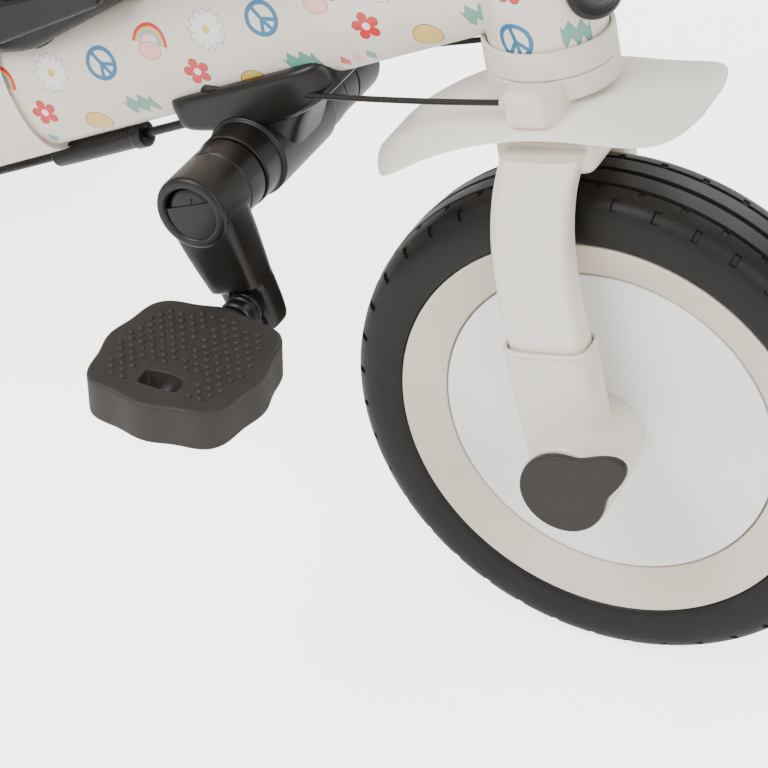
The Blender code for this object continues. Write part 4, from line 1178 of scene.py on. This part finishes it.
print("housing faces", len(housing.data.polygons))


# %% Steering cables
def cable_ends(side):
    start = ALONG_TUBE @ Vector((0.0285, side * 0.0208, 0.0300))
    return start, STEER @ Vector((-0.0050, side * 0.0360, 0.1740))


for side, word in SIDES:
    start, end = cable_ends(side)
    points = []
    for i in range(41):
        u = i / 40
        points.append(start.lerp(end, u) - Vector((0, 0, 0.0048 * u * (1 - u))))
    bm = bmesh.new()
    tube(bm, points, 0.0014, 16)
    cable = keep(bm, "cable_" + word, None, black_plastic, ("steering_cable_" + word,))
    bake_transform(cable)
    bm = bmesh.new()
    way = (end - start).normalized().to_track_quat("Z", "Y").to_matrix().to_4x4()
    turn(
        bm, [(0.0016, -0.002), (0.0042, -0.002), (0.0036, 0.0052), (0.0022, 0.0062), (0.0016, 0.0062)],
        Matrix.Translation(start) @ way, 32, 0.0006,
    )
    keep(bm, "cable_grommet_" + word, "frame", black_plastic)
print("cable length", round((end - start).length, 3), "m")

# %% Sleeve and sheath
SHEATH_DROP = TUBE_TALL + 0.0070
frame_at = ALONG_TUBE @ Matrix.Translation((SHEATH_DROP, 0, -0.1250))
line = [(0.0026, 0.0590), (0.0056, 0.0590), (0.0068, 0.0584), (0.0068, 0.0528), (0.0060, 0.0520)]
line += [(0.0060, 0.0160), (0.0058, 0.0010), (0.0048, 0.0), (0.0026, 0.0)]
turned(
    "sheath_sleeve", line, frame_at, "frame", black_plastic, ("cable_sleeve",), 64, 0.0006
)
bm = bmesh.new()
tube(bm, [ALONG_TUBE @ Vector((SHEATH_DROP, 0, -0.006 - 0.0065 * i)) for i in range(31)], 0.0023, 20)
keep(bm, "sheath_line", "frame", black_plastic, ("cable_sheath",))
print("sheath ready")

# %% [markdown]
# ## Cranks
# Each crank is a round head on the cross tube with a push button in it, and an arm that tapers to
# the pedal. Low on the arm the section steps in, and a small ribbed boss takes the spindle. The two
# arms are half a turn apart. The head is turned, the arm is a loft of squared ovals.

# %% Cranks
LEAN = math.radians(22.8)
CRANK = (-0.178, 0.230)


def crank_end(side):
    reach = -side * 0.054
    return CRANK[0] + reach * math.sin(LEAN), CRANK[1] - reach * math.cos(LEAN)


ARM_ROWS = (
    (-0.0040, 0.0168, 0.0560, 0.0792),
    (0.0060, 0.0166, 0.0556, 0.0793),
    (0.0180, 0.0156, 0.0550, 0.0788),
    (0.0300, 0.0142, 0.0547, 0.0776),
    (0.0405, 0.0128, 0.0545, 0.0762),
    (0.0430, 0.0126, 0.0545, 0.0750),
    (0.0450, 0.0124, 0.0545, 0.0712),
    (0.0480, 0.0123, 0.0545, 0.0700),
    (0.0580, 0.0118, 0.0545, 0.0695),
    (0.0640, 0.0110, 0.0548, 0.0690),
    (0.0672, 0.0094, 0.0556, 0.0684),
    (0.0682, 0.0070, 0.0572, 0.0668),
)


def arm_frame(side):
    x, z = crank_end(side)
    down = Vector((x - CRANK[0], 0, z - CRANK[1])).normalized()
    outward = Vector((0, side, 0))
    turn_to = Matrix((down.cross(outward), outward, down)).transposed().to_4x4()
    return move(CRANK[0], 0, CRANK[1]) @ turn_to


def crank(side, word):
    bm = bmesh.new()
    line = [(0.0079, 0.0412), (0.0172, 0.0412), (0.0178, 0.0420), (0.0178, 0.0545), (0.0170, 0.0549)]
    line += [(0.0170, 0.0555), (0.0178, 0.0559), (0.0178, 0.0778), (0.0172, 0.0792), (0.0158, 0.0800)]
    line += [(0.0136, 0.0800), (0.0128, 0.0794), (0.0126, 0.0690), (0.0079, 0.0690)]
    turn(bm, line, across(CRANK[0], 0, CRANK[1], side), 96, 0.0004)
    rows = []
    for along, half, low, high in between(ARM_ROWS, 3):
        middle, deep = (low + high) / 2, (high - low) / 2
        outline = oval(half, deep, 48, 5.5)
        rows.append([arm_frame(side) @ Vector((u, middle + v, along)) for u, v in outline])
    loft(bm, rows)
    x, z = crank_end(side)
    boss = [(0.0042, 0.0640), (0.0086, 0.0640), (0.0086, 0.0716), (0.0078, 0.0720), (0.0078, 0.0728)]
    boss += [(0.0086, 0.0732), (0.0086, 0.0748), (0.0078, 0.0752), (0.0078, 0.0760), (0.0086, 0.0764)]
    boss += [(0.0086, 0.0800), (0.0078, 0.0812), (0.0042, 0.0812)]
    turn(bm, boss, across(x, 0, z, side), 64, 0.0003)
    for shift in (-0.0058, 0.0, 0.0058):
        rib = arm_frame(side) @ Matrix.Translation((shift, 0.0690, 0.0560))
        box(bm, (0.0016, 0.0050, 0.0180), rib, 0.0005, 2)
    keep(bm, "crank_arm_" + word, "cranks", black_plastic, ("crank_" + word,), sharp=42)


def crank_button(side, word):
    bm = bmesh.new()
    line = [(0, 0.0786), (0.0060, 0.0785), (0.0100, 0.0781), (0.0115, 0.0774), (0.0119, 0.0762)]
    line += [(0.0119, 0.0724), (0, 0.0724)]
    turn(bm, line, across(CRANK[0], 0, CRANK[1], side), 64, 0.0004)
    mark = move(CRANK[0], side * 0.0786, CRANK[1])
    box(bm, (0.0006, 0.0006, 0.0150), mark, 0.0002, 2)
    keep(
        bm, "release_button_" + word, "crank_button_" + word, black_plastic,
        ("crank_button_" + word,),
    )


for side, word in SIDES:
    crank(side, word)
    crank_button(side, word)
print("pedal spindle at", tuple(round(v, 4) for v in crank_end(-1)))

# %% [markdown]
# ## Pedals
# A pedal is a thick moulded block with soft lobes, an even field of low studs with a plain strip down
# the middle, and a small window through which the steel spindle shows. The outside and the window's wall
# are two lofts, and a triangle fill closes each flat face between them, so the window is a true hole. Each
# stud is a tiny dome of a few dozen faces.


# %% Pedal block
def pedal_line(inset, count=128):
    points = []
    for i in range(count):
        angle = 2 * math.pi * i / count
        c, s = abs(math.cos(angle)), abs(math.sin(angle))
        square = (c**3.0 + s**3.0) ** (-1 / 3.0)
        radius = 0.0375 * square * (1 + 0.030 * math.cos(8 * angle)) - inset
        points.append((radius * math.cos(angle), 1.03 * radius * math.sin(angle)))
    return points


def window_line(side, grow, count=64):
    """The window's own hoop: a small rounded oblong near the pedal's outer end."""
    outline = oval(0.0098 + grow, 0.0054 + grow, count, 5.0)
    return [(x, side * 0.0210 + y) for x, y in outline]


def stud_places(side):
    places = []
    for row in range(-7, 8):
        for step in range(-6, 7):
            x, y = 0.0054 * (step + 0.5 * (row % 2)), 0.0043 * row
            square = (abs(x / 0.0320) ** 3.4 + abs(y / 0.0325) ** 3.4) ** (1 / 3.4)
            near_window = abs(x) < 0.0150 and abs(y - side * 0.0210) < 0.0100
            if square < 0.94 and not near_window and abs(x) > 0.0022:
                places.append((x, y))
    return places


def pedal(side, word):
    x, z = crank_end(side)
    frame_at = move(x, side * 0.1255, z)
    bm = bmesh.new()
    half = 0.0103
    outer = ((0.0022, half), (0.0009, half - 0.0002), (0.0002, half - 0.0009), (0.0, half - 0.0018))
    rows = [placed(frame_at, pedal_line(inset), h) for inset, h in outer]
    rows += [placed(frame_at, pedal_line(inset), -h) for inset, h in reversed(outer)]
    loft(bm, rows, capped=False)
    inner = ((0.0006, -half), (0.0, -half + 0.0006), (0.0, half - 0.0006), (0.0006, half))
    loft(bm, [placed(frame_at, window_line(side, grow), h) for grow, h in inner], capped=False)
    for level in (z + half, z - half):
        rims = [
            edge for edge in bm.edges
            if edge.is_boundary and abs(edge.verts[0].co.z - level) < 0.0001
        ]
        bmesh.ops.triangle_fill(bm, use_beauty=True, edges=rims)
    bmesh.ops.recalc_face_normals(bm, faces=bm.faces)
    for px, py in stud_places(side):
        for face in (1, -1):
            place = frame_at @ Matrix.Translation((px, py, face * half))
            size = Matrix.Diagonal((0.0016, 0.0016, 0.0010, 1))
            bmesh.ops.create_uvsphere(bm, u_segments=8, v_segments=5, radius=1, matrix=place @ size)
    made = keep(
        bm, "pedal_block_" + word, "pedal_" + word, pedal_plastic,
        ("pedal_" + word,), sharp=45,
    )
    print(made.name, "studs on a side", len(stud_places(side)), "faces", len(made.data.polygons))


for side, word in SIDES:
    pedal(side, word)

# %% [markdown]
# ## Rear housing, axle and brake
# The tube ends in an ivory housing that swells and flattens down to the rear axle. A cross beam
# carries the axle, two ears hold a foot brake, and all of it is one painted moulding. The big form
# is a loft along the tube, and the beam is turned.

# %% Rear housing
HOUSING_ROWS = (
    (-0.1130, 0.0345, 0.0255, 0.0),
    (-0.1150, 0.0350, 0.0260, 0.0),
    (-0.1700, 0.0355, 0.0270, 0.0),
    (-0.2350, 0.0368, 0.0330, 0.0),
    (-0.3200, 0.0350, 0.0450, -0.0050),
    (-0.3720, 0.0280, 0.0495, -0.0050),
    (-0.3850, 0.0200, 0.0480, -0.0050),
)
bm = bmesh.new()
rows = []
for along, tall, wide, lift in between(HOUSING_ROWS, 4):
    rows.append([ALONG_TUBE @ Vector((u - lift, v, along)) for u, v in oval(tall, wide, 72, 2.35)])
loft(bm, rows)
beam = [(0.0064, 0.1530), (0.0180, 0.1530), (0.0205, 0.1505), (0.0205, 0.0900), (0.0215, 0.0600)]
beam += [(0.0230, 0.0)]
beam += [(r, -h) for r, h in reversed(beam[:-1])]
turn(bm, beam, across(REAR_X, 0, REAR_Z, 1), 96, 0.0015)
for y in (0.0830, 0.1210):
    box(bm, (0.0440, 0.0060, 0.0200), move(REAR_X - 0.0220, y, REAR_Z), 0.0028)
turn(
    bm, [(0.0168, -0.004), (0.0205, -0.006), (0.0205, 0.026), (0.0168, 0.028)],
    PUSH @ up(0.012), 64, 0.0010,
)
keep(bm, "rear_housing_shell", "frame", ivory_paint, ("rear_housing",), sharp=42)
bm = bmesh.new()
BRAKE_X = REAR_X - 0.0340
pivot = across(BRAKE_X, 0, REAR_Z, 1)
turn(bm, [(0.0034, 0.0868), (0.0086, 0.0868), (0.0086, 0.1172), (0.0034, 0.1172)], pivot, 48, 0.0010)
box(bm, (0.0480, 0.0306, 0.0080), move(BRAKE_X - 0.0260, 0.1020, 0.1030), 0.0030)
for i in range(6):
    box(bm, (0.0016, 0.0250, 0.0016), move(BRAKE_X - 0.0180 - 0.0052 * i, 0.1020, 0.1073), 0.0006, 2)
keep(bm, "foot_brake", "brake_pedal", black_plastic, ("brake_pedal",), sharp=45)
print("rear ready")

# %% [markdown]
# ## Push handle
# An adult's handle stands behind the seat: an ivory tube that turns to steer, a steel tube that
# slides in it, and a rubber T grip. All three are turned or carried along straight lines, with a
# collar where the tubes meet.

# %% Push handle
line = [(0.0138, 0.3000), (0.0165, 0.3000), (0.0165, -0.0290), (0.0138, -0.0290)]
turned(
    "push_lower", line, PUSH, "push_handle", ivory_paint, ("push_tube_lower",), 64, 0.0006,
)
line = [(0.0134, 0.3010), (0.0172, 0.3010), (0.0186, 0.2960), (0.0186, 0.2780), (0.0172, 0.2740)]
line += [(0.0167, 0.2740), (0.0167, 0.3002), (0.0134, 0.3002)]
turned("push_collar", line, PUSH, "push_handle", black_plastic, (), 64, 0.0003)
line = [(0.0118, 0.770), (0.0132, 0.770), (0.0132, 0.145), (0.0118, 0.145)]
turned("push_upper_tube", line, PUSH, "push_upper", pole_steel, ("push_tube_upper",), 64, 0.0003)
bm = bmesh.new()
bar = PUSH @ Matrix.Translation((0, 0, 0.7875)) @ Matrix.Rotation(math.radians(-90), 4, "X")
half_line = [(0.0, 0.1098), (0.0100, 0.1098), (0.0152, 0.1075), (0.0169, 0.1030), (0.0170, 0.0960)]
for i in range(9):
    start = 0.0920 - 0.0068 * i
    half_line += [(0.0170, start), (0.0160, start - 0.0010)]
    half_line += [(0.0160, start - 0.0024), (0.0170, start - 0.0034)]
half_line += [(0.0168, 0.0260)]
turn(bm, half_line + [(r, -h) for r, h in reversed(half_line)], bar, 64)
line = [(0.0134, 0.7350), (0.0180, 0.7350), (0.0185, 0.7360), (0.0185, 0.7780), (0.0134, 0.7780)]
turn(bm, line, PUSH, 64, 0.0008)
keep(bm, "push_grip_rubber", "push_upper", grip_rubber, ("push_grip",), sharp=40)
print("push handle top", round((PUSH @ Vector((0, 0, 0.7875)))[2], 3))

# %% [markdown]
# ## Handlebar, stem and grips
# A bent steel tube passes through a clamp on the stem. Its ends carry ribbed rubber grips with a
# flange inside and a bulb outside. The bar is one tube along a smooth line, and each grip is turned
# with its ribs in the profile.


# %% Handlebar
def bar_point(u):
    out = abs(u) * 0.205
    rise = min(1.0, max(0.0, (out - 0.040) / 0.055))
    bend = min(1.0, max(0.0, (out - 0.045) / 0.050))
    swept = 0.28 * (0.050 * bend * bend / 2 + max(0.0, out - 0.095))
    height = 0.435 + 0.032 * rise * rise * (3 - 2 * rise)
    return STEER @ Vector((-swept, math.copysign(out, u), height))


points = [bar_point(2 * i / 96 - 1) for i in range(97)]
bm = bmesh.new()
tube(bm, points, 0.0110, 32)
keep(bm, "handlebar_tube", "fork", bar_steel, ("handlebar",))
bm = bmesh.new()
line = [(0, 0.4470), (0.0120, 0.4455), (0.0178, 0.4380), (0.0198, 0.4210), (0.0214, 0.3300)]
line += [(0.0262, 0.3080), (0.0270, 0.3040), (0.0270, 0.3003), (0.0131, 0.3003), (0.0131, 0.3650)]
line += [(0, 0.3650)]
turn(bm, line, STEER, 96, 0.0012)
sideways = STEER @ up(0.435) @ Matrix.Rotation(math.radians(-90), 4, "X")
turn(bm, [(0.0113, 0.030), (0.0190, 0.030), (0.0190, -0.030), (0.0113, -0.030)], sideways, 64, 0.0018)
keep(bm, "stem_moulding", "fork", ivory_paint, ("handlebar_stem",), sharp=42)
print("bar runs from", tuple(round(v, 3) for v in points[0]))


# %% Grips
def grip(side, word):
    ends = (points[0], points[8]) if side < 0 else (points[-1], points[-9])
    along = (ends[0] - ends[1]).normalized()
    turn_to = along.to_track_quat("Z", "Y").to_matrix().to_4x4()
    line = [(0, 0.0983), (0.0110, 0.0980), (0.0168, 0.0962), (0.0184, 0.0935), (0.0176, 0.0905)]
    line += [(0.0160, 0.0885)]
    for i in range(13):
        start = 0.0860 - 0.0060 * i
        line += [(0.0162, start), (0.0152, start - 0.0008)]
        line += [(0.0152, start - 0.0020), (0.0162, start - 0.0030)]
    line += [(0.0160, 0.0060), (0.0196, 0.0044), (0.0204, 0.0026), (0.0200, 0.0002), (0.0118, 0.0)]
    line += [(0.0118, 0.0935), (0, 0.0935)]
    bm = bmesh.new()
    turn(bm, line, Matrix.Translation(ends[0] - along * 0.092) @ turn_to, 64)
    keep(bm, "grip_rubber_" + word, "fork", grip_rubber, ("grip_" + word,), sharp=40)


for side, word in SIDES:
    grip(side, word)
print("grips ready")

# %% [markdown]
# ## Seat
# The bucket seat is one moulded shell on a dark clamp that saddles the tube. Its sides turn up, and
# its back sweeps up behind the child. The shell is a loft of dished cross-sections, and a small
# lever on the clamp's right side locks the seat along the tube.

# %% Seat clamp and lever
CLAMP_ROWS = (
    (-0.1120, 0.0250, -0.0270),
    (-0.1020, 0.0288, -0.0252),
    (-0.0830, 0.0300, -0.0230),
    (-0.0620, 0.0290, -0.0260),
    (-0.0200, 0.0222, -0.0320),
)
bm = bmesh.new()
rows = []
for along, wide, low in between(CLAMP_ROWS, 4):
    top = -TUBE_TALL - 0.0160
    line = [(low, -wide), (low, wide), (top, wide), (top, -wide)]
    rows.append(placed(ALONG_TUBE, rounded(line, 0.0060, True, 6), along))
loft(bm, rows)
POST_ROWS = (
    (0.2560, -0.2950, 0.0200, 0.0190),
    (0.2750, -0.2970, 0.0235, 0.0198),
    (0.2900, -0.3000, 0.0280, 0.0210),
    (0.3200, -0.3080, 0.0380, 0.0270),
    (0.3455, -0.3150, 0.0480, 0.0350),
)
loft(bm, [[at(x + u, v, z) for u, v in oval(a, b, 48, 3.0)] for z, x, a, b in between(POST_ROWS, 3)])
keep(bm, "seat_clamp_moulding", "frame", black_plastic, ("seat_clamp",), sharp=45)

lever_at = ALONG_TUBE @ Matrix.Translation((-0.0420, -0.0300, -0.0900))
lever_at = lever_at @ Matrix.Rotation(math.radians(90), 4, "X")
lever_turn = lever_at @ up(0.0040) @ Matrix.Rotation(math.radians(90), 4, "Z")
bm = bmesh.new()
rows = []
for inset, height in ((0.0010, -0.0035), (0.0, -0.0026), (0.0, 0.0020), (0.0008, 0.0031), (0.0022, 0.0035)):
    line = []
    for i in range(64):
        angle = 2 * math.pi * i / 64
        reach, shift = (0.0060, 0.060) if math.cos(angle) > 0.058 else (0.0095, 0.0)
        line.append((shift + (reach - inset) * math.cos(angle), (reach - inset) * math.sin(angle)))
    rows.append(placed(lever_turn, line, height))
loft(bm, rows)
turn(bm, [(0, 0.003), (0.0042, 0.003), (0.0042, -0.009), (0, -0.009)], lever_at, 32, 0.0004)
keep(bm, "seat_lock_lever", "seat_lever", black_plastic, ("seat_lever",), sharp=45)
print("clamp and lever ready")

# %% Seat shell
SEAT_ROWS = (
    (0.165, -0.012, 0.070),
    (0.150, 0.004, 0.088),
    (0.090, 0.004, 0.105),
    (0.000, -0.004, 0.125),
    (-0.060, 0.002, 0.132),
    (-0.095, 0.020, 0.134),
    (-0.118, 0.070, 0.132),
    (-0.140, 0.150, 0.122),
    (-0.160, 0.225, 0.100),
    (-0.167, 0.250, 0.070),
)


def seat_hoops(raise_by, thick, narrow, first, last, lip, parts, count=17):
    """Dished cross-sections of the seat, from its front edge to its top."""
    given = SEAT_ROWS[first:last]
    sides = between([(x, z) for x, z, half in given], parts)
    halves = between([(half,) for x, z, half in given], parts)
    hoops = []
    for i, ((x, z), (half,)) in enumerate(zip(sides, halves)):
        before, after = sides[max(0, i - 1)], sides[min(len(sides) - 1, i + 1)]
        along = Vector((after[0] - before[0], 0, after[1] - before[1])).normalized()
        out = Vector((0, 1, 0)).cross(along)
        middle = at(-0.345 + x, 0, 0.355 + z)
        top, bottom = [], []
        for k in range(count):
            u = 2 * k / (count - 1) - 1
            curl = lip * abs(u) ** 3
            shift = Vector((0, u * (half - narrow), 0))
            top.append(middle + shift + out * (raise_by + curl))
            bottom.append(middle + shift + out * (raise_by + curl * 0.9 - thick))
        hoops.append(top + bottom[::-1])
    return hoops


bm = bmesh.new()
loft(bm, seat_hoops(0.0, 0.0045, 0.0, 0, 10, 0.030, 3, 21))
shell = keep(bm, "seat_bucket", "frame", ivory_plastic, ("seat_shell",), levels=1)
print("seat shell faces", len(shell.data.polygons))

# %% [markdown]
# ## Cushions
# The seat and back pads are stuffed cloth. Each starts as a smaller closed form, is remeshed into
# even faces, and is then blown up a little as cloth with no gravity, so its sides pull in between
# the corners as a real pad's do. The move is capped so that a pad can't swell into the shell. The
# piping is added after, because the remesh would erase anything so thin.


# %% Stuffing
def as_seen(piece):
    graph = bpy.context.evaluated_depsgraph_get()
    return bpy.data.meshes.new_from_object(piece.evaluated_get(graph))


def stuff(bm, name, cap):
    """Remeshes the closed form, inflates it as cloth and returns the mesh, with its move capped."""
    bmesh.ops.remove_doubles(bm, verts=bm.verts, dist=0.00001)
    bmesh.ops.recalc_face_normals(bm, faces=bm.faces)
    data = bpy.data.meshes.new(name)
    bm.to_mesh(data)
    bm.free()
    piece = bpy.data.objects.new(name + "_blank", data)
    bpy.context.scene.collection.objects.link(piece)
    even = piece.modifiers.new("even", "REMESH")
    even.mode, even.voxel_size = "VOXEL", 0.0048
    bpy.context.view_layer.update()
    piece.data = as_seen(piece)
    piece.modifiers.clear()
    start = [vert.co.copy() for vert in piece.data.vertices]
    cloth = piece.modifiers.new("stuffing", "CLOTH")
    cloth.settings.use_pressure = True
    cloth.settings.uniform_pressure_force = 4.0
    cloth.settings.effector_weights.gravity = 0.0
    for moment in range(1, 21):
        bpy.context.scene.frame_set(moment)
    piece.data = as_seen(piece)
    piece.modifiers.clear()
    bpy.context.scene.frame_set(1)
    bm = bmesh.new()
    bm.from_mesh(piece.data)
    for vert, place in zip(bm.verts, start):
        shift = vert.co - place
        if shift.length > cap:
            vert.co = place + shift.normalized() * cap
    bpy.data.objects.remove(piece, do_unlink=True)
    for _ in range(2):
        bmesh.ops.smooth_vert(
            bm, verts=bm.verts, factor=0.5, use_axis_x=True, use_axis_y=True, use_axis_z=True,
        )
    return bm


def cushion(name, first, last, node):
    hoops = seat_hoops(0.0165, 0.0150, 0.0170, first, last, 0.024, 6)
    shrunk = bmesh.new()
    loft(shrunk, hoops[1:-1])
    pad = keep(stuff(shrunk, name, 0.0030), name, "frame", seat_cloth, (node,), levels=1)
    return pad


def piping(name, first, last):
    hoops = seat_hoops(0.0090, 0.0, 0.0125, first, last, 0.025, 6)[1:-1]
    half = len(hoops[0]) // 2
    right = [points[0] for points in hoops]
    left = [points[half - 1] for points in hoops]
    edge = right + hoops[-1][1:half - 1] + left[::-1] + hoops[0][1:half - 1][::-1]
    bm = bmesh.new()
    tube(bm, edge, 0.0022, 10, looped=True)
    return keep(bm, name, "frame", piping_cloth)


seat_pad = cushion("seat_pad", 1, 5, "seat_cushion")
back_pad = cushion("back_pad", 6, 10, "back_cushion")
piping("seat_pad_piping", 1, 5)
piping("back_pad_piping", 6, 10)
print("pad faces", len(seat_pad.data.polygons), len(back_pad.data.polygons))

# %% [markdown]
# ## Hidden hardware
# The axles, spindles, bushes and steerer are plain round steel or nylon, and their measured solids
# are already the right shape. They stay as they are and only take a finish.

# %% Hardware finishes
HARDWARE = {
    rod_steel: ("front_axle", "rear_axle", "crank_spindle", "crank_bush_left", "crank_bush_right"),
    bar_steel: ("pedal_spindle_left", "pedal_spindle_right", "brake_pin"),
    pole_steel: ("steerer_tube",),
    black_plastic: ("headset_bush_lower", "headset_bush_upper"),
}
for finish, names in HARDWARE.items():
    for name in names:
        frame["nodes"][name].data.materials.clear()
        frame["nodes"][name].data.materials.append(finish)
shown = [name for name, node in frame["nodes"].items() if not node.hide_render]
print("measured solids still shown", sorted(shown))

# %% Last import
import json
